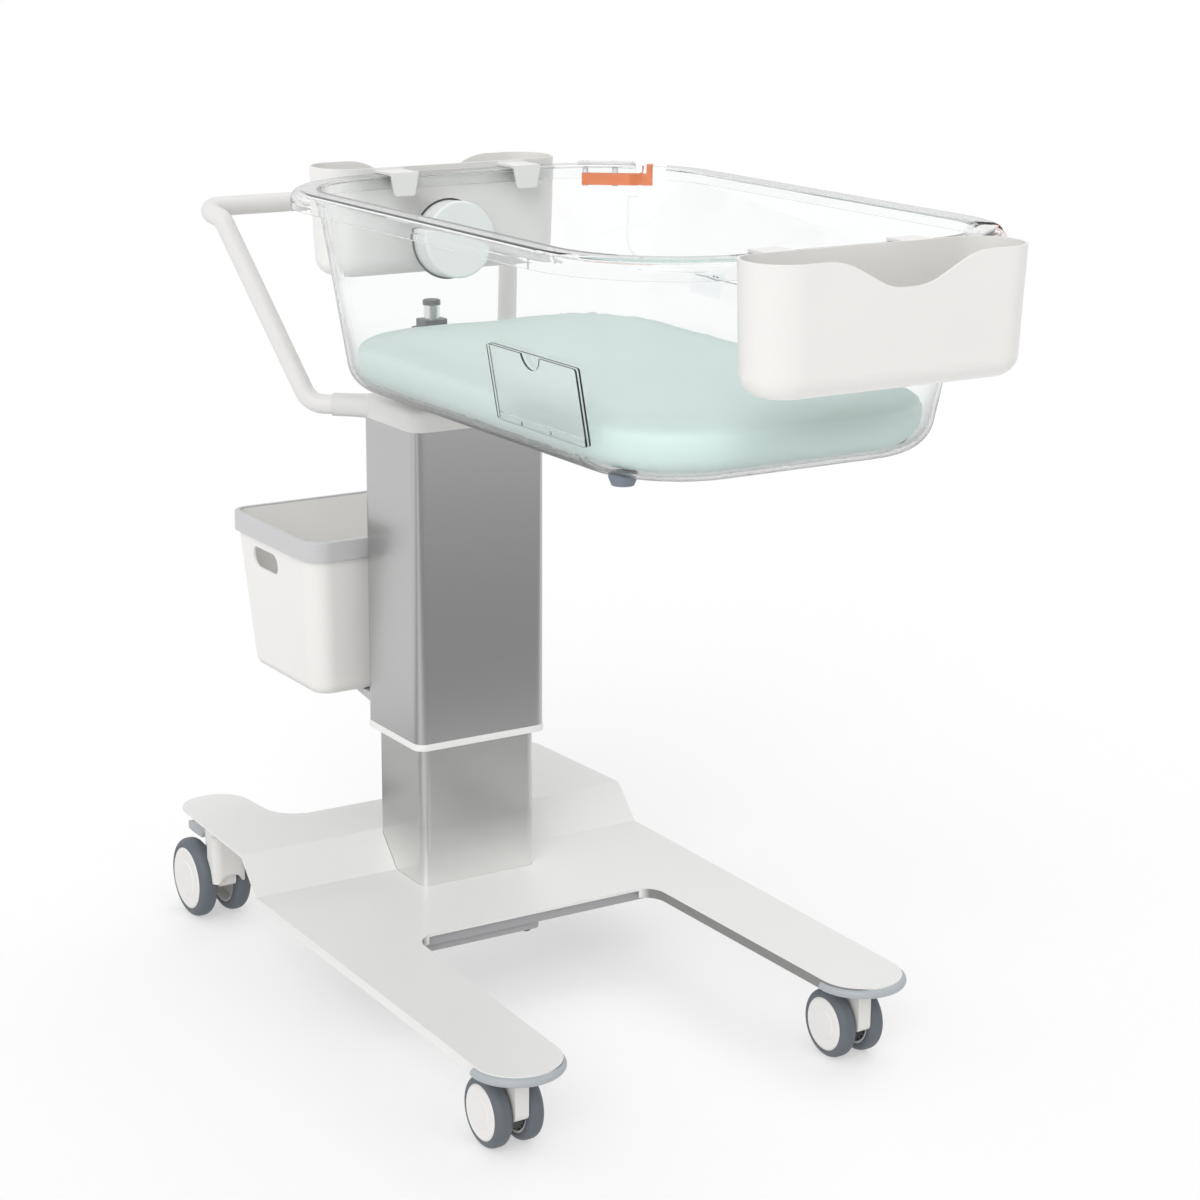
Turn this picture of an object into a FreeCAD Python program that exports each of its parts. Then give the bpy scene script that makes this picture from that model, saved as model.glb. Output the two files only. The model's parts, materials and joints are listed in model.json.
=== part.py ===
import FreeCAD, Part
import math
import os

# Hospital bassinet: a clear tub with a drop-down side on a lifting column and a castered base.
# Millimetres, +Z up, floor at z = 0. The foot end is -Y, the push handle is at +Y, the side door at +X.
# Everything is drawn about the column's centre line and moved by column_y when it is written.

V = FreeCAD.Vector

# ---------------------------------------------------------------- driving dimensions
run_gap = 0.05              # radial running clearance of a shaft in its bore
seat_gap = 0.3              # clearance between pieces that lift apart
leaf_touch = 0.05           # clearance behind a strip or leaf fixed to a shaped wall
move_gap = 1.0              # clearance beside a moving piece

# base plate: one folded sheet, low at the front, one step higher at the rear
sheet = 3.0
skirt_depth = 11.0
low_top = 107.0
leg_fall = 6.5
high_top = 146.0
bend_low_y = 11.0
bend_high_y = 49.0
base_half = 253.0
leg_w = 99.0                # from a leg's inner edge to the side of the base
leg_inner_x = base_half - leg_w
cross_front_y = -181.0
cross_corner_r = 26.0
tip_inset = 42.0
tip_x = base_half - tip_inset
tip_r = 46.0
tip_front_y = -546.0
lobe_inset = 47.5
lobe_x = base_half - lobe_inset
lobe_r = 38.5
lobe_rear_y = 261.0
waist_inset = 95.0
waist_x = base_half - waist_inset
waist_y = 141.0
waist_r = 44.0
bumper_r = 5.0
bumper_sweep = 188.0
frame_inset = 4.0
frame_depth = 12.0
box_left = -142.0
box_right = 10.0
box_front_y = -174.0
box_rear_y = -62.0
box_bottom = 80.0
box_foot_r = 6.0
box_foot_h = 4.0

# casters: wheel radius, tyre width, gap between the twin wheels, trail, lock ring radius, top of the hood,
# thickness of the brake pedal
front_caster = (37.5, 19.0, 17.0, 22.0, 25.5, 86.0, 5.0)
rear_caster = (48.0, 22.0, 22.0, 34.0, 18.0, 130.0, 11.0)
front_swivel_x = tip_x
front_swivel_y = -498.0
rear_swivel_inset = 53.0
rear_swivel_x = base_half - rear_swivel_inset
rear_swivel_y = 221.0
hub_share = 0.78
axle_r = 4.0
ring_t = 3.0
ring_teeth = 20
stem_r = 8.0
socket_r = 15.0
fender_half = 21.0
fender_low = 54.0
fender_front = -24.0
fender_rear = 6.0
fender_corner = 10.0
fender_edge = 6.0
fender_rise = 14.0
arch_r = 16.8
arch_drop = 6.0
pedal_half = 17.0
pedal_pin_y = 15.0
pedal_pin_r = 2.5
pedal_tongue = 5.6
cheek_half = 12.0
cheek_end = 20.0

# lifting column
outer_w = 167.0
outer_d = 127.0
outer_corner = 13.0
outer_wall = 4.0
outer_bottom = 279.0
outer_top = 636.5
tube_step = 9.5             # from the outside of the outer tube to the outside of the inner one
inner_w = outer_w - 2 * tube_step
inner_d = outer_d - 2 * tube_step
inner_corner = 11.0
inner_wall = 3.0
inner_top = 500.0
column_floor = 4.0
trim_h = 8.0
trim_proud = 1.0
glide_h = 26.0
lift_up = 80.0
lift_down = 120.0
rod_r = 14.0
cylinder_r = 23.0
cylinder_top = 395.0
rod_bottom = 250.0

# head casting and push handle
head_t = 23.5
head_lip = 3.0
head_w = outer_w + 2 * head_lip
head_d = outer_d + 2 * head_lip
head_corner = 18.0
plinth_h = 5.0
arm_r = 12.8
arm_from = (70.0, 52.0)
arm_len = 50.0
tube_z = 646.5
tube_r = 11.0
tube_wall = 2.0
tube_from = 13.5
foot_bend = 26.0
elbow_bend = 16.0
post_foot = (128.0, 103.0)
post_top = (187.0, 196.0, 848.0)
handle_end = (203.0, 226.0, 858.0)
release_y = 47.0
release_low = (38.0, 32.0, 72.0)
release_high = (30.0, 24.0, 81.0)
plunger_r = 9.0
plunger_top = 757.0
plunger_cap_r = 10.0
plunger_cap_h = 6.0
plunger_travel = 8.0

# tilt mechanism and cradle under the tub
pivot_y = -10.0
pivot_z = 682.0
pivot_r = 5.0
ear_x = 40.0
ear_t = 6.0
ear_end = 11.0
lug_t = 5.0
lug_gap = 0.5
cradle_half = 112.0
saddle_half = 141.0
saddle_rear_y = -72.0
saddle_front_y = -226.0
cradle_rear_y = 14.0
cradle_front_y = -560.0
cradle_t = 3.0
cradle_flange = 13.0
cradle_corner = 24.0
saddle_corner = 56.0
saddle_t = 7.0
rib_t = 4.0
foot_plate_half = 58.0      # plate of the tilt bracket, on the head
foot_plate_reach = 26.0
foot_plate_corner = 6.0
foot_plate_t = 4.0

# tub: outside of the wall at its foot and at the underside of the rim
tub_bottom = 700.0
tub_depth = 213.0
tub_foot_half = 187.0
tub_foot_rear = -40.0
tub_foot_front = -682.0
tub_foot_corner = 106.0
tub_foot_fillet = 34.0
tub_wall = 4.0
rim_top = tub_bottom + tub_depth
rim_half = 250.0
rim_rear = 3.0
rim_front = -740.0
rim_corner = 150.0
rim_overhang = 27.0
rim_lip = 18.0
rim_roll = 11.0
foot_r = 13.5
foot_h = 7.0
foot_taper = 3.0
foot_inset_x = 30.0
foot_inset_y = 78.0
rear_foot_inset_x = 59.0
rear_foot_gap = 10.0        # between the rear feet and the cradle's broad part

# side door and its hinges
door_end_y = -64.5
door_end_slant = 0.115
door_h = 108.0
door_sill = rim_top - door_h
door_corner = 34.0
door_gap = 0.6
door_flange_setback = 28.0
tub_flange_setback = 9.0
hinge_pin_r = 2.0
knuckle_r = 4.5
hinge_len = 60.0
hinge_leaf_t = 1.6
hinge_leaf_h = 20.0
hinge_offset_y = 165.0
leaf_from_axis = 2.0
pin_end = 1.5

# sliding latches under the rim, at both ends of the door
latch_angle = 53.5
latch_line_r = 130.5
latch_w = 7.0
latch_below_rim = 10.5
latch_h = 13.0
latch_high = rim_top - latch_below_rim
latch_low = latch_high - latch_h
latch_len = 80.0
latch_mid = 9.0
latch_tab = 7.0
latch_tab_top = rim_top
latch_travel = 27.5
latch_drop = 10.5           # how far below the bar the swinging door's end still meets it
latch_room = 3.0            # gap between the bar and the door's notched end
latch_pin_r = 1.6
latch_pin_1 = -36.0
latch_pin_2 = -2.5
latch_plate_t = 2.5

# card holder, night-light disc
card_mid_y = -527.0
card_w = 160.0
card_h = 74.0
card_rise = 32.0
card_bottom = tub_bottom + card_rise
card_t = 2.0
card_slot = 1.6
card_notch_r = 17.0
disc_r = 41.5
disc_t = 30.0
disc_x = -23.0
disc_below_rim = 71.0
disc_z = rim_top - disc_below_rim

# mattress, storage boxes, waste bin
mattress_h = 62.0
mattress_gap = 1.5
mattress_edge = 28.0
caddy_half = 147.0
caddy_depth = 78.0
caddy_rise = 5.0            # how far the storage boxes stand above the rim
caddy_h = 119.0
caddy_top = rim_top + caddy_rise
caddy_bottom = caddy_top - caddy_h
caddy_corner = 36.0
caddy_taper = 4.0
caddy_wall = 2.6
caddy_fillet = 20.0
caddy_dip = 27.0
hook_x = 76.0
hook_w = 34.0
hook_t = 2.6
hook_gap = 0.8
hook_drop = 22.0
hook_tip_z = rim_top - hook_drop
bin_half = 140.8
bin_front_y = 85.2
bin_rear_y = 296.8
bin_top = 486.0
bin_bottom = 298.0
bin_taper = 14.0
bin_taper_y = 18.0
bin_wall = 2.6
bin_front_corner = 26.0
bin_rear_corner = 20.0
bin_fillet = 14.0
band_h = 21.0
band_t = 3.2
slot_len = 66.0
slot_h = 25.0
slot_y = 212.0
slot_z = 441.0
bracket_t = 4.0
bracket_half = 62.0
shelf_reach = 112.0
gusset_h = 18.0
gusset_t = 4.0
gusset_toe = 12.0          # flat left at each end of a gusset's slope
gusset_from_edge = 4.0
stop_h = 20.0              # lip that the bin's front stands against
bracket_below_rim = 60.0

# the frame's origin lies under the middle of the overall length, from front box to rear wheels
front_reach = rim_front - 0.5 - caddy_depth
rear_reach = rear_swivel_y + rear_caster[3] + rear_caster[0]
column_y = -(front_reach + rear_reach) / 2


# ---------------------------------------------------------------- drawing helpers
def write(name, *solids):
    """Move the solids into the part's own frame and write them as one STEP file."""
    shape = solids[0] if len(solids) == 1 else Part.makeCompound(list(solids))
    shape = shape.copy()
    shape.translate(V(0, column_y, 0))
    shape.exportStep(os.path.join("parts", name + ".step"))


def rounded_wire(corners, lift):
    """Closed wire through corners (a, b, radius); lift(a, b) gives the point in space."""
    flat = [(V(a, b, 0), r) for a, b, r in corners]
    count = len(flat)
    cuts = []
    for i, (here, r) in enumerate(flat):
        to_prev = (flat[i - 1][0] - here).normalize()
        to_next = (flat[(i + 1) % count][0] - here).normalize()
        half = to_prev.getAngle(to_next) / 2
        run = r / math.tan(half)
        bisector = (to_prev + to_next).normalize()
        middle = here + bisector * (r / math.sin(half) - r)
        cuts.append((here + to_prev * run, middle, here + to_next * run))
    edges = []
    for i, (start, middle, end) in enumerate(cuts):
        if flat[i][1] > 0:
            arc = [lift(p.x, p.y) for p in (start, middle, end)]
            edges.append(Part.Arc(*arc).toShape())
        following = cuts[(i + 1) % count][0]
        if end.distanceToPoint(following) > 1e-5:
            edges.append(Part.makeLine(lift(end.x, end.y), lift(following.x, following.y)))
    return Part.Wire(edges)


def plan_prism(corners, z0, z1):
    """Upright prism on a rounded plan outline."""
    wire = rounded_wire(corners, lambda a, b: V(a, b, z0))
    return Part.Face(wire).extrude(V(0, 0, z1 - z0))


def side_prism(corners, x0, x1):
    """Prism along X on a rounded (y, z) outline."""
    wire = rounded_wire(corners, lambda a, b: V(x0, a, b))
    return Part.Face(wire).extrude(V(x1 - x0, 0, 0))


def front_prism(corners, y0, y1):
    """Prism along Y on a rounded (x, z) outline."""
    wire = rounded_wire(corners, lambda a, b: V(a, y0, b))
    return Part.Face(wire).extrude(V(0, y1 - y0, 0))


def rect(x0, x1, y0, y1, r):
    return [(x0, y0, r), (x1, y0, r), (x1, y1, r), (x0, y1, r)]


def rect_wire(x0, x1, y0, y1, r, z):
    return rounded_wire(rect(x0, x1, y0, y1, r), lambda a, b: V(a, b, z))


def block(x0, x1, y0, y1, z0, z1):
    return Part.makeBox(x1 - x0, y1 - y0, z1 - z0, V(x0, y0, z0))


def rod(r, start, axis, length):
    return Part.makeCylinder(r, length, V(*start), V(*axis))


def loft(*wires):
    return Part.makeLoft(list(wires), True, True)


def edges_at(shape, z):
    """Level edges of a shape at height z."""
    found = []
    for edge in shape.Edges:
        box = edge.BoundBox
        if max(abs(box.ZMin - z), abs(box.ZMax - z)) < 0.01:
            found.append(edge)
    return found


def mirror_x(shape):
    return shape.mirror(V(0, 0, 0), V(1, 0, 0))


def both_sides(shape):
    return [shape, mirror_x(shape)]


def pipe(points, bends, r):
    """Round bar along straight runs joined by tangent arcs."""
    path = []
    start = points[0]
    for before, corner, after, bend in zip(points, points[1:], points[2:], bends):
        to_prev = (before - corner).normalize()
        to_next = (after - corner).normalize()
        half = to_prev.getAngle(to_next) / 2
        run = bend / math.tan(half)
        middle = corner + (to_prev + to_next).normalize() * (bend / math.sin(half) - bend)
        path.append(Part.makeLine(start, corner + to_prev * run))
        path.append(Part.Arc(corner + to_prev * run, middle, corner + to_next * run).toShape())
        start = corner + to_next * run
    path.append(Part.makeLine(start, points[-1]))
    section = Part.Wire(Part.makeCircle(r, points[0], points[1] - points[0]))
    return Part.Wire(path).makePipeShell([section], True, False)


# ---------------------------------------------------------------- base
fall = leg_fall / (bend_low_y - front_swivel_y)


def plate_top(y):
    """Height of the plate's upper face on its two flats: level at the rear, falling gently along the legs."""
    return high_top if y > bend_high_y else low_top - fall * (bend_low_y - y)


def base_outline(inset):
    """Plan of the base plate: two forward legs with round tips, two rear lobes and a waist."""
    right = [
        (leg_inner_x + inset, cross_front_y + inset, cross_corner_r + inset),
        (tip_x - tip_r + inset, tip_front_y + inset, tip_r - inset),
        (tip_x + tip_r - inset, tip_front_y + inset, tip_r - inset),
        (base_half - inset, bend_low_y, 0),
        (base_half - inset, bend_high_y, 0),
        (lobe_x + lobe_r - inset, lobe_rear_y - inset, lobe_r - inset),
        (lobe_x - lobe_r + inset, lobe_rear_y - inset, lobe_r - inset),
        (waist_x, waist_y - inset, waist_r + inset),
    ]
    return right + [(-x, y, r) for x, y, r in reversed(right)]


def bent_band(drop, depth):
    """Slab that follows the plate's step and the fall of its legs, its top lowered by drop."""
    reach = 700.0
    half = base_half + 20
    top = [(-reach, plate_top(-reach) - drop), (bend_low_y, low_top - drop)]
    top += [(bend_high_y, high_top - drop), (reach, high_top - drop)]
    ring = [(y, z, 0) for y, z in top] + [(y, z - depth, 0) for y, z in reversed(top)]
    return side_prism(ring, -half, half)


def base_plate():
    tall = plan_prism(base_outline(0), 0, high_top + 20)
    plate = tall.common(bent_band(0, sheet))
    # the legs carry a skirt all round, except along the cross part, where the frame shows
    skirt = tall.cut(plan_prism(base_outline(sheet), 0, high_top + 20))
    skirt = skirt.common(bent_band(sheet, skirt_depth - sheet))
    skirt = skirt.common(block(-base_half - 20, base_half + 20, tip_front_y - 20, bend_low_y, 0, high_top))
    open_edge = leg_inner_x + cross_corner_r
    skirt = skirt.cut(block(-open_edge, open_edge, cross_front_y - 1, cross_front_y + 30, 0, high_top))
    plate = plate.fuse(skirt).removeSplitter()
    column = centred(inner_w + 2 * seat_gap, inner_d + 2 * seat_gap, inner_corner + seat_gap)
    return plate.cut(plan_prism(column, 0, high_top + 20))


def swivel_points():
    points = []
    for side in (-1, 1):
        points.append((side * front_swivel_x, front_swivel_y))
        points.append((side * rear_swivel_x, rear_swivel_y))
    return points


def base_frame():
    """Steel frame below the plate: a shallow cross beam under the column."""
    half = leg_inner_x + cross_corner_r - frame_inset
    front = cross_front_y + frame_inset
    beam = plan_prism(rect(-half, half, front, bend_low_y - 2, 8), 0, high_top)
    beam = beam.common(bent_band(sheet, frame_depth))
    pocket = plan_prism(rect(-half + 6, half - 6, front + 6, bend_low_y - 8, 4), 0, high_top)
    beam = beam.cut(pocket.common(bent_band(sheet + 4, frame_depth)))
    return beam.cut(plan_prism(centred(inner_w, inner_d, inner_corner), 0, high_top))


def control_box():
    body = plan_prism(rect(box_left, box_right, box_front_y, box_rear_y, 6), box_bottom, high_top)
    body = body.makeFillet(3, edges_at(body, box_bottom))
    return body.cut(bent_band(-60, 60 + sheet + frame_depth))


def box_feet():
    feet = []
    for x in (box_left + 12, box_right - 12):
        for y in (box_front_y + 12, box_rear_y - 12):
            foot = rod(box_foot_r, (x, y, box_bottom - box_foot_h), (0, 0, 1), box_foot_h)
            feet.append(foot.makeChamfer(1.5, edges_at(foot, box_bottom - box_foot_h)))
    return feet


def bumper():
    """Half-round strip round one leg tip, against its skirt."""
    section = Part.Face(Part.Wire(Part.makeCircle(bumper_r, V(tip_r - 0.5, 0, 0), V(0, 1, 0))))
    strip = section.revolve(V(0, 0, 0), V(0, 0, 1), bumper_sweep)
    strip.rotate(V(0, 0, 0), V(0, 0, 1), 180 - (bumper_sweep - 180) / 2)
    strip.translate(V(tip_x, tip_front_y + tip_r, plate_top(front_swivel_y) - skirt_depth + bumper_r - 1))
    return strip.cut(plan_prism(base_outline(-leaf_touch), 0, high_top))


def stem_sockets():
    """Round bosses under the plate, each with the bore a caster's stem turns in."""
    sockets = []
    for x, y in swivel_points():
        hood_top = (front_caster if y < 0 else rear_caster)[5]
        low = hood_top + 0.5
        body = rod(socket_r, (x, y, low), (0, 0, 1), plate_top(y) + 10 - low)
        body = body.makeChamfer(2, edges_at(body, low))
        body = body.cut(bent_band(-40, 40 + sheet))
        sockets.append(body.cut(rod(stem_r + run_gap, (x, y, 0), (0, 0, 1), 2 * high_top)))
    return sockets


def make_base():
    write("base_plate", base_plate())
    write("base_frame", base_frame())
    write("control_box", control_box())
    write("control_box_feet", *box_feet())
    write("leg_bumpers", *both_sides(bumper()))
    write("stem_sockets", *stem_sockets())


# ---------------------------------------------------------------- casters
def wheel_zone(caster, side):
    """Room that one turning wheel needs, as a cylinder about the axle, drawn about the swivel axis."""
    wheel_r, tyre_w, gap, trail = caster[:4]
    start = gap / 2 - 0.6
    zone = rod(wheel_r + 1.5, (start, trail, wheel_r), (1, 0, 0), tyre_w + 20)
    return zone if side > 0 else mirror_x(zone)


def pedal_pin_z(caster):
    return 2 * caster[0] + 7


def caster_hood(caster, plate):
    """Swivel head with the fin between its twin wheels, drawn about the swivel axis on the floor."""
    wheel_r, tyre_w, gap, trail, ring_r, top, pedal_t = caster
    fin_half = gap / 2 - 0.6
    shoulder = 2 * wheel_r + 2.5
    hood = side_prism(
        [
            (-14, shoulder + 1, 0),
            (-14, wheel_r, 8),
            (trail - 14, wheel_r - 12, 8),
            (trail + 12, wheel_r - 12, 10),
            (trail + 14, wheel_r + 14, 16),
            (cheek_end + 1, shoulder - 2, 2),
            (cheek_end - 4, shoulder + 1, 0),
        ],
        -fin_half, fin_half,
    )
    drum_r = 16.0 if top < 100 else 20.0
    drum = rod(drum_r, (0, 0, shoulder), (0, 0, 1), top - shoulder)
    cheek_top = min(top - 1, pedal_pin_z(caster) + 6)
    cheeks = plan_prism(rect(-cheek_half, cheek_half, 2, cheek_end, 3), shoulder, cheek_top)
    hood = hood.fuse([drum.makeFillet(2.5, edges_at(drum, top)), cheeks])
    if top > 100:
        # broad fender in front of the larger wheels
        fender_top = shoulder + fender_rise
        fender = rect(-fender_half, fender_half, fender_front, fender_rear, fender_corner)
        fender = plan_prism(fender, fender_low, fender_top)
        fender = fender.makeFillet(fender_edge, edges_at(fender, fender_top))
        run = fender_rear - fender_front + 20
        arch = rod(arch_r, (0, fender_front - 10, fender_low - arch_drop), (0, 1, 0), run)
        for side in (-1, 1):
            fender = fender.cut(wheel_zone(caster, side))
        hood = hood.fuse(fender.cut(arch))
    # bores for the axle and the pedal's pin, and the slot its tongue swings in
    hood = hood.cut(rod(axle_r + run_gap, (-60, trail, wheel_r), (1, 0, 0), 120))
    hood = hood.cut(rod(pedal_pin_r + run_gap, (-60, pedal_pin_y, pedal_pin_z(caster)), (1, 0, 0), 120))
    slot = pedal_tongue + seat_gap
    hood = hood.cut(block(-slot, slot, pedal_pin_y - 7, 60, shoulder - 1, pedal_pin_z(caster) + 12))
    return hood.fuse(rod(stem_r, (0, 0, top - 1), (0, 0, 1), plate - sheet - 0.5 - top + 1)).removeSplitter()


def brake_pedal(caster):
    """Foot pedal on its cross pin: a narrow tongue between the cheeks, then the full-width tread."""
    wheel_r, tyre_w, gap, trail, ring_r, top, thick = caster
    pin_z = pedal_pin_z(caster)
    low = pin_z - 2.5
    end = trail + 26
    tread = side_prism(
        [
            (cheek_end + 1.5, low, 0),
            (end - 10, low, 1),
            (end, low + 1.5, 1.5),
            (end, low + thick, 1.5),
            (cheek_end + 1.5, low + 5, 0),
        ],
        -pedal_half, pedal_half,
    )
    for k in range(4):
        groove = block(-pedal_half + 3, pedal_half - 3, 0, 1.6, low + thick - 1.4, top)
        groove.translate(V(0, end - 17 + 4 * k, 0))
        tread = tread.cut(groove)
    tongue = block(-pedal_tongue, pedal_tongue, pedal_pin_y, cheek_end + 2, low, low + 5)
    eye = rod(4.5, (-pedal_tongue, pedal_pin_y, pin_z), (1, 0, 0), 2 * pedal_tongue)
    pin = rod(pedal_pin_r, (-cheek_half, pedal_pin_y, pin_z), (1, 0, 0), 2 * cheek_half)
    return tread.fuse([tongue, eye, pin]).removeSplitter()


def turned(points):
    """Solid of revolution about X from (x, radius) points."""
    ring = [V(x, 0, r) for x, r in points]
    return Part.Face(Part.makePolygon(ring + ring[:1])).revolve(V(0, 0, 0), V(1, 0, 0), 360)


def tyre(caster):
    """Right-hand tread, thick and round-shouldered."""
    wheel_r, tyre_w, gap = caster[:3]
    inner = wheel_r * hub_share
    x0 = gap / 2
    x1 = x0 + tyre_w
    shoulder = (wheel_r - inner) * 0.88
    outline = rounded_wire(
        [(x0, inner, 0), (x1, inner, 0), (x1, wheel_r, shoulder), (x0, wheel_r, shoulder)],
        lambda a, b: V(a, 0, b),
    )
    return Part.Face(outline).revolve(V(0, 0, 0), V(1, 0, 0), 360)


def hub(caster):
    """Right-hand wheel centre: rim, web set toward the outside and a dished cap with a raised ring."""
    wheel_r, tyre_w, gap = caster[:3]
    rim = wheel_r * hub_share
    x0 = gap / 2
    x1 = x0 + tyre_w
    web = x0 + tyre_w * 0.55
    cavity = rim - 2.6
    return turned([
        (x0 + ring_t + 1, axle_r),
        (x0 + ring_t + 1, axle_r + 4),
        (web, axle_r + 7),
        (web, cavity),
        (x0 + 1, cavity),
        (x0 + 1, rim),
        (x1 - 0.6, rim),
        (x1 + 0.8, rim - 2.2),
        (x1 + 0.2, rim * 0.58),
        (x1 + 1.0, rim * 0.54),
        (x1 + 1.2, 0),
        (x1 - 3, 0),
        (x1 - 3, axle_r),
    ])


def lock_axle(caster):
    """Axle with the toothed lock ring of each wheel."""
    wheel_r, tyre_w, gap, trail, ring_r = caster[:5]
    reach = gap / 2 + tyre_w - 3
    shape = rod(axle_r, (-reach, 0, 0), (1, 0, 0), 2 * reach)
    x0 = gap / 2 + 0.3
    teeth = []
    for k in range(ring_teeth):
        for part, radius in enumerate((ring_r - 2.2, ring_r - 2.2, ring_r, ring_r)):
            turn = math.tau * (k + part / 4) / ring_teeth
            teeth.append(V(x0, radius * math.cos(turn), radius * math.sin(turn)))
    ring = Part.Face(Part.makePolygon(teeth + teeth[:1])).extrude(V(ring_t, 0, 0))
    return shape.fuse(both_sides(ring)).removeSplitter()


def make_caster(label, x, y, caster):
    swivel = V(x, y, 0)
    axle = V(x, y + caster[3], caster[0])

    def placed(shape, where):
        moved = shape.copy()
        moved.translate(where)
        return moved

    write("caster_hood_" + label, placed(caster_hood(caster, plate_top(y)), swivel))
    write("brake_pedal_" + label, placed(brake_pedal(caster), swivel))
    write("tyres_" + label, *[placed(one, axle) for one in both_sides(tyre(caster))])
    write("hubs_" + label, *[placed(one, axle) for one in both_sides(hub(caster))])
    write("lock_axle_" + label, placed(lock_axle(caster), axle))


def make_casters():
    for name, side in (("left", -1), ("right", 1)):
        make_caster("front_" + name, side * front_swivel_x, front_swivel_y, front_caster)
        make_caster("rear_" + name, side * rear_swivel_x, rear_swivel_y, rear_caster)


# ---------------------------------------------------------------- lifting column
def centred(w, d, r):
    return rect(-w / 2, w / 2, -d / 2, d / 2, r)


def square_tube(w, d, corner, wall, z0, z1):
    bore = centred(w - 2 * wall, d - 2 * wall, corner - wall)
    return plan_prism(centred(w, d, corner), z0, z1).cut(plan_prism(bore, z0, z1))


def make_column():
    foot = low_top - sheet - frame_depth
    floor = plan_prism(centred(inner_w, inner_d, inner_corner), foot, foot + column_floor)
    tube = square_tube(inner_w, inner_d, inner_corner, inner_wall, foot, inner_top)
    write("inner_tube", tube.fuse(floor).removeSplitter())
    write("outer_tube", square_tube(outer_w, outer_d, outer_corner, outer_wall, outer_bottom, outer_top))
    # trim ring under the outer tube, with the lower glide standing up inside it
    trim = plan_prism(centred(outer_w + 2 * trim_proud, outer_d + 2 * trim_proud, outer_corner + trim_proud),
                      outer_bottom - trim_h, outer_bottom)
    trim = trim.makeFillet(1.2, edges_at(trim, outer_bottom - trim_h) + edges_at(trim, outer_bottom))
    cavity_w = outer_w - 2 * outer_wall
    cavity_d = outer_d - 2 * outer_wall
    cavity_r = outer_corner - outer_wall
    trim = trim.fuse(plan_prism(centred(cavity_w, cavity_d, cavity_r), outer_bottom, outer_bottom + glide_h))
    passage = centred(inner_w + 2 * seat_gap, inner_d + 2 * seat_gap, inner_corner + seat_gap)
    write("column_trim_ring", trim.cut(plan_prism(passage, outer_bottom - trim_h, outer_bottom + glide_h)))
    # glide cap on top of the inner tube, running in the outer tube
    cap = centred(cavity_w - 2 * seat_gap, cavity_d - 2 * seat_gap, cavity_r)
    cap = plan_prism(cap, inner_top, inner_top + glide_h / 2)
    hole = rod(rod_r + move_gap, (0, 0, inner_top), (0, 0, 1), glide_h)
    write("upper_glide", cap.cut(hole))
    cylinder = rod(cylinder_r, (0, 0, foot + column_floor), (0, 0, 1), cylinder_top - foot - column_floor)
    bore = rod(rod_r + run_gap, (0, 0, foot + 2 * column_floor), (0, 0, 1), cylinder_top)
    write("lift_cylinder", cylinder.cut(bore))
    write("lift_rod", rod(rod_r, (0, 0, rod_bottom), (0, 0, 1), outer_top - rod_bottom))


# ---------------------------------------------------------------- head casting and handle
head_top = outer_top + head_t


def arm_points():
    """Axis of the right-hand arm: where it leaves the head, and the handle's foot."""
    start = V(arm_from[0], arm_from[1], tube_z)
    foot = V(post_foot[0], post_foot[1], tube_z)
    return start, foot, (foot - start).normalize()


def head_arm():
    """Arm that narrows from the head's rear corner to a round socket."""
    start, foot, along = arm_points()
    across = V(-along.y, along.x, 0)

    def section(distance, half_w, half_h, r):
        middle = start + along * distance
        return rounded_wire(
            [(-half_w, -half_h, r), (half_w, -half_h, r), (half_w, half_h, r), (-half_w, half_h, r)],
            lambda a, b: middle + across * a + V(0, 0, b),
        )

    arm = loft(
        section(-26, 27, arm_r - 1, 9),
        section(arm_len * 0.5, 16, arm_r - 0.6, 11),
        section(arm_len, arm_r, arm_r, 12),
    )
    tube_room = plan_prism(centred(outer_w + 0.6, outer_d + 0.6, outer_corner), outer_top - 40, outer_top)
    return arm.cut(tube_room)


def head_casting():
    body = plan_prism(centred(head_w, head_d, head_corner), outer_top, head_top)
    start, foot, along = arm_points()
    body = body.makeFillet(6, edges_at(body, head_top))
    plinth_rear = release_y - release_low[1] / 2 - seat_gap
    plinth = plan_prism(rect(-66, 66, -46, plinth_rear, 14), head_top - 2, head_top + plinth_h)
    plinth = plinth.makeFillet(3, edges_at(plinth, head_top + plinth_h))
    body = body.fuse(plinth)
    socket = rod(tube_r + run_gap, start + along * (tube_from - seat_gap), along, 100)
    for arm, bore in zip(both_sides(head_arm()), both_sides(socket)):
        body = body.fuse(arm).cut(bore)
    return body.removeSplitter()


def handle():
    start, foot, along = arm_points()
    right = [start + along * tube_from, foot, V(*post_top), V(*handle_end)]
    route = right + [V(-p.x, p.y, p.z) for p in reversed(right)]
    bends = [foot_bend, elbow_bend, elbow_bend] * 2
    bends[3:] = reversed(bends[:3])
    return pipe(route, bends, tube_r).cut(pipe(route, bends, tube_r - tube_wall))


def release_housing():
    low_w, low_d, low_h = release_low
    high_w, high_d, high_h = release_high
    foot = rect(-low_w / 2, low_w / 2, release_y - low_d / 2, release_y + low_d / 2, 4)
    upper = rect(-high_w / 2, high_w / 2, release_y - high_d / 2, release_y + high_d / 2, 4)
    body = plan_prism(foot, head_top, head_top + low_h)
    body = body.makeFillet(2, edges_at(body, head_top + low_h))
    body = body.fuse(plan_prism(upper, head_top + low_h - 3, head_top + high_h))
    return body.cut(rod(plunger_r + run_gap, (0, release_y, head_top + 40), (0, 0, 1), 100)).removeSplitter()


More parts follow.
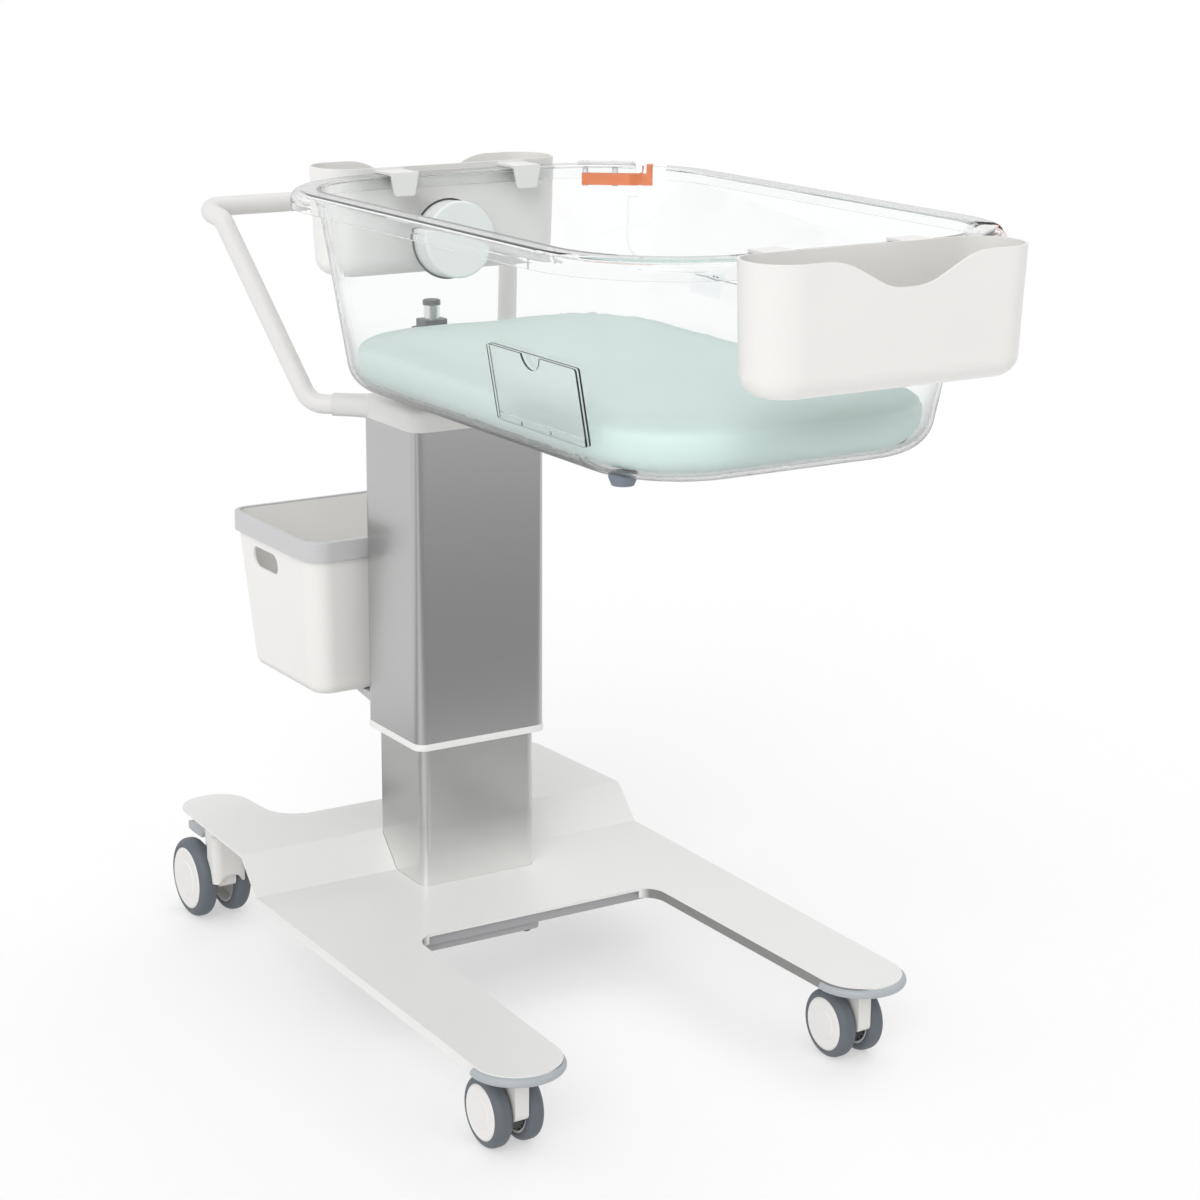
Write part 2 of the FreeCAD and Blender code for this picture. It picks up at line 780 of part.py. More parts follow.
def make_head():
    write("head_casting", head_casting())
    write("push_handle", handle())
    write("release_housing", release_housing())
    stem_low = head_top + 40 + plunger_travel + 4
    write("release_plunger", rod(plunger_r, (0, release_y, stem_low), (0, 0, 1), plunger_top - stem_low))
    cap = rod(plunger_cap_r, (0, release_y, plunger_top), (0, 0, 1), plunger_cap_h)
    write("release_cap", cap.makeFillet(2, edges_at(cap, plunger_top + plunger_cap_h)))


# ---------------------------------------------------------------- tilt bracket and cradle
def ear(x0, thick, base_z, clearance):
    """Lug from base_z to a round end about the tilt pin, standing up or hanging down."""
    end = ear_end if base_z < pivot_z else -ear_end
    outline = [
        (pivot_y - 2 * ear_end, base_z, 0),
        (pivot_y + 2 * ear_end, base_z, 0),
        (pivot_y + ear_end, pivot_z + end, ear_end - 1),
        (pivot_y - ear_end, pivot_z + end, ear_end - 1),
    ]
    plate = side_prism(outline, x0, x0 + thick)
    return plate.cut(rod(pivot_r + clearance, (x0 - 1, pivot_y, pivot_z), (1, 0, 0), thick + 2))


def make_tilt():
    bracket_z = head_top + plinth_h
    near, far = pivot_y - foot_plate_reach, pivot_y + foot_plate_reach
    bracket = rect(-foot_plate_half, foot_plate_half, near, far, foot_plate_corner)
    bracket = plan_prism(bracket, bracket_z, bracket_z + foot_plate_t)
    for one in both_sides(ear(ear_x, ear_t, bracket_z, run_gap)):
        bracket = bracket.fuse(one)
    write("tilt_bracket", bracket.removeSplitter())
    reach = ear_x + ear_t + lug_t + 5
    write("tilt_pin", rod(pivot_r, (-reach, pivot_y, pivot_z), (1, 0, 0), 2 * reach))

    top = tub_bottom - seat_gap
    plan = rect(-cradle_half, cradle_half, cradle_front_y, cradle_rear_y, cradle_corner)
    pan = plan_prism(plan, top - cradle_flange, top)
    half = cradle_half - cradle_t
    inner = rect(-half, half, cradle_front_y + cradle_t, cradle_rear_y - cradle_t, cradle_corner - cradle_t)
    pan = pan.cut(plan_prism(inner, top - cradle_flange, top - cradle_t))
    for share in (0.35, 0.6, 0.84):
        y = cradle_rear_y + (cradle_front_y - cradle_rear_y) * share
        pan = pan.fuse(block(-half, half, y, y + rib_t, top - cradle_flange + cradle_t, top - cradle_t))
    saddle = rect(-saddle_half, saddle_half, saddle_front_y, saddle_rear_y, saddle_corner)
    pan = pan.fuse(plan_prism(saddle, top - saddle_t, top))
    for one in both_sides(ear(ear_x + ear_t + lug_gap, lug_t, top - cradle_t, run_gap)):
        pan = pan.fuse(one)
    write("cradle", pan.removeSplitter())


# ---------------------------------------------------------------- tub
wall_top = rim_top - tub_wall
wall_half = rim_half - rim_overhang
wall_rear = rim_rear - rim_overhang
wall_front = rim_front + rim_overhang
wall_corner = rim_corner - rim_overhang
wall_lean = (wall_half - tub_foot_half) / (wall_top - tub_bottom)


def wall_at(z, inset):
    """Plan of the drafted wall at height z, inset from its outside: half width, front, rear, corner."""
    t = (z - tub_bottom) / (wall_top - tub_bottom)
    half = tub_foot_half + (wall_half - tub_foot_half) * t - inset
    rear = tub_foot_rear + (wall_rear - tub_foot_rear) * t - inset
    front = tub_foot_front + (wall_front - tub_foot_front) * t + inset
    corner = tub_foot_corner + (wall_corner - tub_foot_corner) * t - inset
    return half, front, rear, corner


def wall_wire(z, inset):
    half, front, rear, corner = wall_at(z, inset)
    return rect_wire(-half, half, front, rear, corner, z)


def tub_cup(inset, z0, z1):
    """Closed cup that follows the tub's wall at a distance inset."""
    cup = loft(wall_wire(z0, inset), wall_wire(z1, inset))
    return cup.makeFillet(tub_foot_fillet - inset, edges_at(cup, z0))


def rim_outline(inset):
    return rect(-rim_half + inset, rim_half - inset, rim_front + inset, rim_rear - inset, rim_corner - inset)


def whole_shell():
    """Tub with its rolled rim, before the door is parted from it."""
    outer = tub_cup(0, tub_bottom, wall_top)
    rim = plan_prism(rim_outline(0), rim_top - rim_lip, rim_top)
    rim = rim.makeFillet(rim_roll, edges_at(rim, rim_top))
    under = plan_prism(rim_outline(tub_wall), rim_top - rim_lip, rim_top - tub_wall)
    under = under.makeFillet(rim_roll - tub_wall, edges_at(under, rim_top - tub_wall))
    shell = outer.fuse(rim.cut(under.cut(outer)))
    cavity = tub_cup(tub_wall, tub_bottom + tub_wall, wall_top)
    throat = loft(wall_wire(wall_top, tub_wall), wall_wire(rim_top + 1, tub_wall))
    return shell.cut(cavity).cut(throat).removeSplitter()


def door_cutter(gap):
    """Block over the +X side, with round lower corners, that parts the door from the tub."""
    middle = (rim_rear + rim_front) / 2
    reach = door_end_y - middle
    sill = door_sill + gap

    def half_width(z):
        return reach - gap - (rim_top - z) * door_end_slant

    top = rim_top + 20
    right = [(half_width(sill), sill, door_corner - gap), (half_width(top), top, 0)]
    outline = [(middle + y, z, r) for y, z, r in right] + [(middle - y, z, r) for y, z, r in reversed(right)]
    return side_prism(outline, 60, rim_half + 20)


def latch_frame():
    """Corner centre, outward normal and run direction of the rear latch."""
    centre = V(rim_half - rim_corner, rim_rear - rim_corner, 0)
    turn = math.radians(latch_angle)
    normal = V(math.cos(turn), math.sin(turn), 0)
    along = V(math.sin(turn), -math.cos(turn), 0)
    return centre, normal, along


def latch_prism(s0, s1, half_w, z0, z1, r=0):
    """Upright prism laid along the latch's line from s0 to s1."""
    centre, normal, along = latch_frame()

    def lift(a, b):
        return centre + along * a + normal * (latch_line_r + b) + V(0, 0, z0)

    corners = [(s0, -half_w, r), (s1, -half_w, r), (s1, half_w, r), (s0, half_w, r)]
    return Part.Face(rounded_wire(corners, lift)).extrude(V(0, 0, z1 - z0))


def mirror_front(shape):
    """Mirror about the tub's middle, from the rear latch's corner to the front one."""
    middle = (rim_rear + rim_front) / 2
    return shape.mirror(V(0, middle, 0), V(0, 1, 0))


def rim_notch(s0, s1):
    """Gap in the flange and lip, outside the wall, for the latch's finger tab."""
    slab = latch_prism(s0, s1, 60, rim_top - rim_lip - 5, rim_top + 5)
    half, front, rear, corner = wall_at(wall_top, -0.2)
    keep = plan_prism(rect(-half, half, front, rear, corner), rim_top - rim_lip - 6, rim_top + 6)
    return slab.cut(keep)


def tab_slot():
    """Slot in the flange under the plate, which the finger tab follows as the bar draws back."""
    start = latch_mid + latch_len / 2 - latch_tab - latch_travel - seat_gap
    return latch_prism(start, cut_distance(), latch_w / 2 + seat_gap, rim_top - rim_lip, rim_top + 1)


def latch_swing():
    """Room in the door's end for the bar and its tab, so that the door swings out past them."""
    centre, normal, along = latch_frame()
    tip = centre + normal * latch_line_r + along * (latch_mid + latch_len / 2)
    near = tip.y - normal.y * latch_w / 2 - latch_room
    return block(wall_corner, rim_half, near, door_end_y, latch_low - latch_drop, rim_top + 1)


def cut_distance():
    """Place along the latch's line where the door's parting cut crosses it."""
    centre, normal, along = latch_frame()
    on_line = centre + normal * latch_line_r
    return (door_end_y - on_line.y) / along.y


def latch_pins_at():
    centre, normal, along = latch_frame()
    return [centre + normal * latch_line_r + along * (latch_mid + s) for s in (latch_pin_1, latch_pin_2)]


def card_wall_x():
    """Outside of the -X wall at the card holder's middle height."""
    return -wall_at(card_bottom + card_h / 2, 0)[0]


def card_holder():
    """Backing plate and notched front plate, leaning with the wall, joined along their lower edge."""
    low = card_bottom
    high = card_bottom + card_h
    plates = []
    steps = (0.2, 0.2 + card_t + card_slot)
    for k, step in enumerate(steps):
        plate = side_prism(rect(card_mid_y - card_w / 2, card_mid_y + card_w / 2, low, high, 3), 0, card_t)
        if k:
            plate = plate.cut(rod(card_notch_r, (-1, card_mid_y, high + 3), (1, 0, 0), card_t + 2))
        plate.translate(V(-card_t - step, 0, 0))
        plates.append(plate)
    half = card_w / 2 - 3
    spacer = block(-card_slot, 0, card_mid_y - half, card_mid_y + half, low + 1, low + 7)
    spacer.translate(V(-0.2 - card_t, 0, 0))
    holder = plates[0].fuse([spacer, plates[1]]).removeSplitter()
    holder.rotate(V(0, 0, low + card_h / 2), V(0, 1, 0), -math.degrees(math.atan(wall_lean)))
    holder.translate(V(card_wall_x(), 0, 0))
    return holder


def disc_light():
    """Round housing on the inside of the rear wall."""
    half, front, rear, corner = wall_at(disc_z - disc_r, tub_wall + seat_gap)
    lean = math.degrees(math.atan((wall_rear - tub_foot_rear) / (wall_top - tub_bottom)))
    body = rod(disc_r, (0, 0, 0), (0, -1, 0), disc_t)
    front_edges = [e for e in body.Edges if abs(e.BoundBox.YMax + disc_t) < 0.01]
    body = body.makeFillet(3, front_edges)
    body = body.cut(Part.makeTorus(disc_r, 1.0, V(0, -disc_t * 0.4, 0), V(0, 1, 0)))
    body.rotate(V(0, 0, -disc_r), V(1, 0, 0), -lean)
    body.translate(V(disc_x, rear, disc_z))
    return body


def tub_feet():
    """Small feet under the flat of the tub's floor."""
    half, front, rear, corner = wall_at(tub_bottom, 0)
    front_pair = (half - foot_inset_x, front + foot_inset_y)
    rear_pair = (half - rear_foot_inset_x, saddle_front_y - foot_r - rear_foot_gap)
    feet = []
    for x, y in (front_pair, rear_pair):
        foot = Part.makeCone(foot_r - foot_taper, foot_r, foot_h, V(x, y, tub_bottom - foot_h))
        foot = foot.fuse(rod(foot_r, (x, y, tub_bottom), (0, 0, 1), foot_h))
        feet += both_sides(foot.cut(tub_cup(0, tub_bottom, wall_top)).removeSplitter())
    return feet


def hinge_axis():
    """Door hinge axis: just outside the wall at the sill."""
    half = wall_at(door_sill, 0)[0]
    return half + hinge_leaf_t + knuckle_r + 0.4, door_sill - 1


def hinge_knuckle(y0, y1, side):
    """Barrel with the web that joins it to its leaf, above (side 1) or below (side -1) the axis."""
    x, z = hinge_axis()
    near = z + side * leaf_from_axis
    far = near + side * hinge_leaf_t
    web = block(wall_at(max(z, far), 0)[0] + leaf_touch, x, y0, y1, min(z, far), max(z, far))
    barrel = rod(knuckle_r, (x, y0, z), (0, 1, 0), y1 - y0).fuse(web)
    return barrel.cut(rod(hinge_pin_r + run_gap, (x, y0, z), (0, 1, 0), y1 - y0))


def hinge_leaf(y0, side):
    """Leaf against the leaning wall, above or below the hinge axis."""
    x, z = hinge_axis()
    thick = hinge_leaf_t * math.hypot(1, wall_lean)
    inner = []
    for height in (z + side * leaf_from_axis, z + side * hinge_leaf_h):
        inner.append(V(wall_at(height, 0)[0] + leaf_touch, y0, height))
    ring = inner + [p + V(thick, 0, 0) for p in reversed(inner)]
    return Part.Face(Part.makePolygon(ring + ring[:1])).extrude(V(0, hinge_len, 0))


def make_hinges():
    x, z = hinge_axis()
    middle = (rim_rear + rim_front) / 2
    third = hinge_len / 3
    tub_side = []
    door_side = []
    pins = []
    for centre in (middle - hinge_offset_y, middle + hinge_offset_y):
        y0 = centre - hinge_len / 2
        y1 = centre + hinge_len / 2
        lower = hinge_leaf(y0, -1)
        for start, end in ((y0, y0 + third - seat_gap), (y1 - third + seat_gap, y1)):
            lower = lower.fuse(hinge_knuckle(start, end, -1))
        upper = hinge_leaf(y0, 1).fuse(hinge_knuckle(y0 + third, y1 - third, 1))
        tub_side.append(lower.removeSplitter())
        door_side.append(upper.removeSplitter())
        pins.append(rod(hinge_pin_r, (x, y0 - pin_end, z), (0, 1, 0), hinge_len + 2 * pin_end))
    write("hinge_leaves_tub", *tub_side)
    write("hinge_leaves_door", *door_side)
    write("hinge_pins", *pins)


def make_latches():
    door_end = latch_mid + latch_len / 2
    bar = latch_prism(door_end - latch_len, door_end, latch_w / 2, latch_low, latch_high, 2)
    bar = bar.fuse(latch_prism(door_end - latch_tab, door_end, latch_w / 2, latch_low, latch_tab_top, 2))
    bar = bar.removeSplitter()
    for s in (latch_pin_1, latch_pin_2):
        s0 = latch_mid + s - latch_pin_r - 0.1
        slot = latch_prism(s0, s0 + 2 * latch_pin_r + 0.2 + latch_travel, latch_pin_r + run_gap,
                           latch_low - 1, latch_high + 1, latch_pin_r)
        bar = bar.cut(slot)
    write("latch_rear", bar)
    write("latch_front", mirror_front(bar))
    plate_end = cut_distance() - tub_flange_setback - 1
    plate = latch_prism(latch_mid - latch_len / 2 - 4, plate_end, 8, rim_top, rim_top + latch_plate_t, 5)
    heads = []
    for at in latch_pins_at():
        plate = plate.fuse(rod(4, (at.x, at.y, rim_top + latch_plate_t), (0, 0, 1), 1.0))
        top = rim_top - tub_wall
        pin = rod(latch_pin_r, (at.x, at.y, latch_low - 1.6), (0, 0, 1), top - latch_low + 1.6)
        pin = pin.fuse(rod(3.0, (at.x, at.y, latch_low - 1.6), (0, 0, 1), 1.3))
        heads.append(pin.fuse(rod(3.2, (at.x, at.y, latch_high + 0.4), (0, 0, 1), top - latch_high - 0.4)))
    write("latch_plates", plate, mirror_front(plate))
    write("latch_pins", *(heads + [mirror_front(p) for p in heads]))


def make_tub():
    shell = whole_shell()
    at_cut = cut_distance()
    notch = rim_notch(at_cut - tub_flange_setback, at_cut + door_flange_setback)
    slot = tab_slot()
    for one in (notch, mirror_front(notch), slot, mirror_front(slot)):
        shell = shell.cut(one)
    tub = shell.cut(door_cutter(0))
    write("tub", tub)
    door = shell.common(door_cutter(door_gap))
    for room in (latch_swing(), mirror_front(latch_swing())):
        door = door.cut(room)
    write("side_door", door)
    write("card_holder", card_holder())
    write("disc_light", disc_light())
    write("tub_feet", *tub_feet())
    make_hinges()
    make_latches()
    low = tub_bottom + tub_wall + seat_gap
    inset = tub_wall + mattress_gap
    pad = loft(wall_wire(low, inset), wall_wire(low + mattress_h, inset))
    pad = pad.makeFillet(tub_foot_fillet - tub_wall, edges_at(pad, low))
    pad = pad.makeFillet(mattress_edge, edges_at(pad, low + mattress_h))
    write("mattress", pad)


# ---------------------------------------------------------------- storage boxes
def storage_box():
    """Box hooked on the front rim: open top, dipped outer wall, two hooks with tongues."""
    near = rim_front - 0.5
    far = near - caddy_depth

    def body(inset, z0, z1):
        half = caddy_half - inset
        foot = half - caddy_taper
        corner = caddy_corner - inset
        top = rect_wire(-half, half, far + inset, near - inset, corner, z1)
        low = rect_wire(-foot, foot, far + caddy_taper + inset, near - inset, corner, z0)
        shape = loft(low, top)
        return shape.makeFillet(caddy_fillet - inset, edges_at(shape, z0))

    box = body(0, caddy_bottom, caddy_top)
    box = box.cut(body(caddy_wall, caddy_bottom + caddy_wall, caddy_top + 0.01))
    dip = front_prism(
        [
            (-100, caddy_top + 30, 0),
            (-100, caddy_top, 0),
            (-72, caddy_top, 70),
            (-20, caddy_top - caddy_dip, 55),
            (20, caddy_top - caddy_dip, 55),
            (72, caddy_top, 70),
            (100, caddy_top, 0),
            (100, caddy_top + 30, 0),
        ],
        far - 5, far + caddy_depth * 0.45,
    )
    box = box.cut(dip)
    return box.fuse(both_sides(hook(near))).removeSplitter()


def hook(near):
    """One hook: strap over the rim and a tapered tongue inside the tub."""
    strap_z = rim_top + seat_gap
    inner = wall_at(hook_tip_z, tub_wall)[1] + hook_gap
    half = hook_w / 2
    strap = block(hook_x - half, hook_x + half, near - caddy_wall, inner + hook_t, strap_z, strap_z + hook_t)
    riser = block(hook_x - half, hook_x + half, near - caddy_wall, near, strap_z - 8, strap_z + hook_t)
    tongue = front_prism(
        [
            (hook_x - half * 0.72, hook_tip_z, 4),
            (hook_x + half * 0.72, hook_tip_z, 4),
            (hook_x + half, strap_z + hook_t, 0),
            (hook_x - half, strap_z + hook_t, 0),
        ],
        inner, inner + hook_t,
    )
    return strap.fuse([riser, tongue])


def make_boxes():
    box = storage_box()
    write("storage_box_front", box)
    write("storage_box_rear", mirror_front(box))


# ---------------------------------------------------------------- waste bin and its bracket
def bin_plan(grow):
    """Plan of the bin's mouth, grown outward; the rear corners are tighter than the front ones."""
    x = bin_half + grow
    front = bin_front_corner + grow
    rear = bin_rear_corner + grow
    low = bin_front_y - grow
    high = bin_rear_y + grow
    return [(-x, low, front), (x, low, front), (x, high, rear), (-x, high, rear)]


def bin_body(inset, z0, z1):
    mouth = bin_plan(-inset)
    middle = (bin_front_y + bin_rear_y) / 2
    foot = []
    for x, y, r in mouth:
        foot.append((x - math.copysign(bin_taper, x), y - math.copysign(bin_taper_y, y - middle), r))
    wires = [rounded_wire(ring, lambda a, b: V(a, b, z)) for ring, z in ((foot, z0), (mouth, z1))]
    shape = loft(*wires)
    return shape.makeFillet(bin_fillet - inset, edges_at(shape, z0))


def make_bin():
    tub = bin_body(0, bin_bottom, bin_top).cut(bin_body(bin_wall, bin_bottom + bin_wall, bin_top + 0.01))
    half = slot_len / 2
    slot = rect(slot_y - half, slot_y + half, slot_z - slot_h / 2, slot_z + slot_h / 2, slot_h / 2 - 0.5)
    write("waste_bin", tub.cut(side_prism(slot, -bin_half - 10, bin_half + 10)))
    low = bin_top - band_h
    band = plan_prism(bin_plan(band_t), low, bin_top + 2)
    band = band.makeFillet(2, edges_at(band, bin_top + 2))
    for grow, high in ((0.1, bin_top), (-bin_wall, bin_top + 3)):
        band = band.cut(plan_prism(bin_plan(grow), low - 1, high))
    write("bin_rim_band", band)

    # bracket on the column: back plate, shelf under the bin and two gussets
    face = outer_d / 2
    shelf_top = bin_bottom - seat_gap
    plate_face = face + bracket_t
    plate_top = bin_top - bracket_below_rim
    back = block(-bracket_half, bracket_half, face, plate_face, shelf_top - bracket_t, plate_top)
    shelf = rect(-bracket_half, bracket_half, face, face + shelf_reach, 3)
    shelf = plan_prism(shelf, shelf_top - bracket_t, shelf_top)
    stop_face = bin_front_y - seat_gap
    stop = block(-bracket_half, bracket_half, plate_face, stop_face, shelf_top, shelf_top + stop_h)
    gusset = side_prism(
        [
            (face, shelf_top - bracket_t, 0),
            (face, shelf_top - gusset_h, 0),
            (face + gusset_toe, shelf_top - gusset_h, 0),
            (face + shelf_reach - gusset_toe, shelf_top - bracket_t, 0),
        ],
        bracket_half - gusset_from_edge - gusset_t, bracket_half - gusset_from_edge,
    )
    write("bin_bracket", back.fuse([shelf, stop] + both_sides(gusset)).removeSplitter())


# ---------------------------------------------------------------- build
def main():
    os.makedirs("parts", exist_ok=True)
    make_base()
    make_casters()
    make_column()
    make_head()
    make_tilt()
    make_tub()
    make_boxes()
    make_bin()


main()
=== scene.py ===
import json
import math

import bmesh
import bpy
from bpy.props import FloatProperty, FloatVectorProperty, IntProperty, PointerProperty
from mathutils import Matrix, Vector


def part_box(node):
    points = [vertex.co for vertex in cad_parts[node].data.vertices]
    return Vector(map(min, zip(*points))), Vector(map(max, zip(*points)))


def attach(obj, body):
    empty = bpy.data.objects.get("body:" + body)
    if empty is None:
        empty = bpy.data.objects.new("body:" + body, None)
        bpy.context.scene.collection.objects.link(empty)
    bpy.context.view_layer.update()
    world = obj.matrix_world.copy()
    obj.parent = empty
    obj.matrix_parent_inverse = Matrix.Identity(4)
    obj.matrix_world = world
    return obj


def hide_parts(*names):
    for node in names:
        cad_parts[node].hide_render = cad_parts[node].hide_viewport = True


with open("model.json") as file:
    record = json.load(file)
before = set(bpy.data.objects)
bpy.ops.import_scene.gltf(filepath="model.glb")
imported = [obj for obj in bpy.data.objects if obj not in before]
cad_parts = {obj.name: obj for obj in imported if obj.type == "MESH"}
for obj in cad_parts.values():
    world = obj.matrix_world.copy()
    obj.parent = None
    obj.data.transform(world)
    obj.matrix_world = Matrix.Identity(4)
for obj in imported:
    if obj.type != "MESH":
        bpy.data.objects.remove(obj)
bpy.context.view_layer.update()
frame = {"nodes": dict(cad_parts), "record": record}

bl_info = {
    "name": "Hospital Bassinet",
    "version": (1, 0, 0),
    "blender": (4, 5, 0),
    "location": "View3D > Sidebar > Bassinet",
    "description": "Finishes, soft pad, trims and studio for a hospital bassinet",
    "category": "Object",
}

BODY_OF = {node: body for body, nodes in frame["record"]["behaviour"]["bodies"].items() for node in nodes}
CORNERS = ("front_left", "front_right", "rear_left", "rear_right")
CARD_LOW, CARD_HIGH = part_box("card_holder")
CARD_MIDDLE = (CARD_LOW[2] + CARD_HIGH[2]) / 2

# camera, fitted to the long straight edges of the column, base and tub
CAMERA_PLACE = (-1.490325, -2.452241, 1.254015)
CAMERA_RIGHT = (0.849983, -0.526782, 0.005378)
CAMERA_UP = (0.132321, 0.223364, 0.965712)
CAMERA_BACK = (-0.509921, -0.820127, 0.259561)
SENSOR_WIDTH = 36.0
CLIP_END = 100.0

# studio: the floor, the bands that polished faces see in it (middle, width and depth, measured across the column's
# corner), and the light's level and how it changes along X and Y
FLOOR_HALF = 40.0
FLOOR_DROP = 0.0004
FLOOR_TONE = 0.94
FLOOR_GLOW = 1.04
GLOW_SHARE = 0.45
ACROSS = (-0.528, 0.849)
FRONT_BANDS = ((-1.9, 1.3, 0.55), (-0.8, 0.5, 0.35))
SIDE_BAND = (0.8, 0.3, 0.55)
WORLD_LEVEL = 0.74
WORLD_SLOPE = (-0.26, -0.08)

# clear plastic: its tint, the grey painted shade it shows seen edge on, the near black painted shade on the card
# holder's cut edges, and the height where the tub's foot begins to turn under, below which the edge-on painted shade
# widens
CLEAR = (0.985, 0.992, 0.992)
EDGE_ON_PAINTED_SHADE = (0.19, 0.20, 0.20)
CUT_EDGE_PAINTED_SHADE = (0.02, 0.022, 0.025)
CLEAR_IOR = 1.25
TUB_FOOT = 0.80

# trims
# the near black ring behind the disc is painted shadow: it stands for the shadow gap between the disc and the tub
# wall
SHADOW_RING_LEAN = math.radians(4.2)
SHADOW_RING_THICKNESS = 0.0012
SHADOW_RING_OVERHANG = 0.0009
SHADOW_RING_BEHIND = 0.0016
BUTTON_PLACES = ((-0.1990, -0.2345, 0.7345), (-0.1986, -0.2868, 0.7345))
BUTTON_RADII = (0.0021, 0.0015)
BUTTON_DEPTH = 0.0014

# pad: how far its sides lean in toward the floor of the tub, across and along, and the cover's cloth
PAD_LEAN = (0.020, 0.010)
PAD_PRESSURE = 4.0
PAD_STIFFNESS = 40.0
PAD_BENDING = 5.0
PAD_QUALITY = 4
PAD_SMOOTHING = 8


# ---------------------------------------------------------------- sizes and colours a user would change
def colour_prop(name, description, default):
    return FloatVectorProperty(
        name=name, description=description, default=default, subtype="COLOR", size=3, min=0.0, max=1.0
    )


def length_prop(name, description, default):
    return FloatProperty(name=name, description=description, default=default, unit="LENGTH", min=0.0)


class BassinetColours(bpy.types.PropertyGroup):
    """Base colours of the finishes."""

    coat: colour_prop("Powder coat", "Warm white coat of the base and head", (0.80, 0.795, 0.78))
    column: colour_prop("Column", "Satin metal of the lifting column", (0.50, 0.50, 0.50))
    box: colour_prop("Boxes", "Moulded storage boxes and bin", (0.81, 0.80, 0.78))
    handle: colour_prop("Handle", "Moulded sleeve of the push handle", (0.73, 0.72, 0.705))
    lip: colour_prop("Bin lip", "Light grey lip of the waste bin", (0.55, 0.55, 0.56))
    tread: colour_prop("Tyres", "Grey rubber of the casters", (0.115, 0.130, 0.150))
    bumper: colour_prop("Bumpers", "Blue-grey strips round the leg tips", (0.40, 0.43, 0.45))
    pad: colour_prop("Pad", "Pale green cover of the mattress", (0.55, 0.67, 0.64))
    latch: colour_prop("Latches", "Orange sliding latches", (0.80, 0.23, 0.09))
    foot: colour_prop("Feet", "Blue-grey feet under the tub", (0.18, 0.21, 0.26))


class BassinetSizes(bpy.types.PropertyGroup):
    """Sizes of the pieces that are made here."""

    pad_inset: length_prop("Pad inset", "How much smaller the pad starts than its space", 0.0025)
    pad_drop: length_prop("Pad drop", "How far the soft top lies under the top of its space", 0.0105)
    pad_corner: length_prop("Pad corner", "Radius of the pad's upright corners", 0.099)
    pad_top_round: length_prop("Pad top round", "Rounding of the pad's top edge", 0.013)
    pad_foot_round: length_prop("Pad foot round", "Rounding of the pad's bottom edge", 0.024)
    pad_cap: length_prop("Pad swell", "Furthest that a point of the pad may move", 0.003)
    pad_voxel: length_prop("Pad voxel", "Size of the remesh before the pad is puffed", 0.006)
    lens: FloatProperty(name="Lens", description="Focal length in millimetres", default=84.006, min=1.0)
    pad_frames: IntProperty(name="Pad frames", description="Steps of the pad's simulation", default=20, min=1)


# ---------------------------------------------------------------- shader helpers
class Value:
    """One socket that joins in Python arithmetic and adds its Math nodes as it goes."""

    def __init__(self, shader, socket):
        self.shader = shader
        self.socket = socket

    def maths(self, operation, *operands):
        return self.shader.node("ShaderNodeMath", {"operation": operation}, dict(enumerate(operands)))

    def __add__(self, other):
        return self.maths("ADD", self, other)

    def __radd__(self, other):
        return self.maths("ADD", other, self)

    def __sub__(self, other):
        return self.maths("SUBTRACT", self, other)

    def __rsub__(self, other):
        return self.maths("SUBTRACT", other, self)

    def __mul__(self, other):
        return self.maths("MULTIPLY", self, other)

    def __rmul__(self, other):
        return self.maths("MULTIPLY", other, self)

    def __truediv__(self, other):
        return self.maths("DIVIDE", self, other)

    def __rtruediv__(self, other):
        return self.maths("DIVIDE", other, self)

    def __pow__(self, other):
        return self.maths("POWER", self, other)

    def clamped(self):
        """Held between 0 and 1."""
        return self.shader.node("ShaderNodeClamp", {}, {"Value": self})

    def rise(self, start, slope):
        """0 at the start and rising by the slope to 1; a slope below 0 rises the other way."""
        return ((self - start) * slope).clamped()

    def size(self):
        """Without its sign."""
        return self.maths("ABSOLUTE", self)

    def bell(self):
        """1 at zero, falling away smoothly on both sides."""
        return self.maths("EXPONENT", 0.0 - self * self)


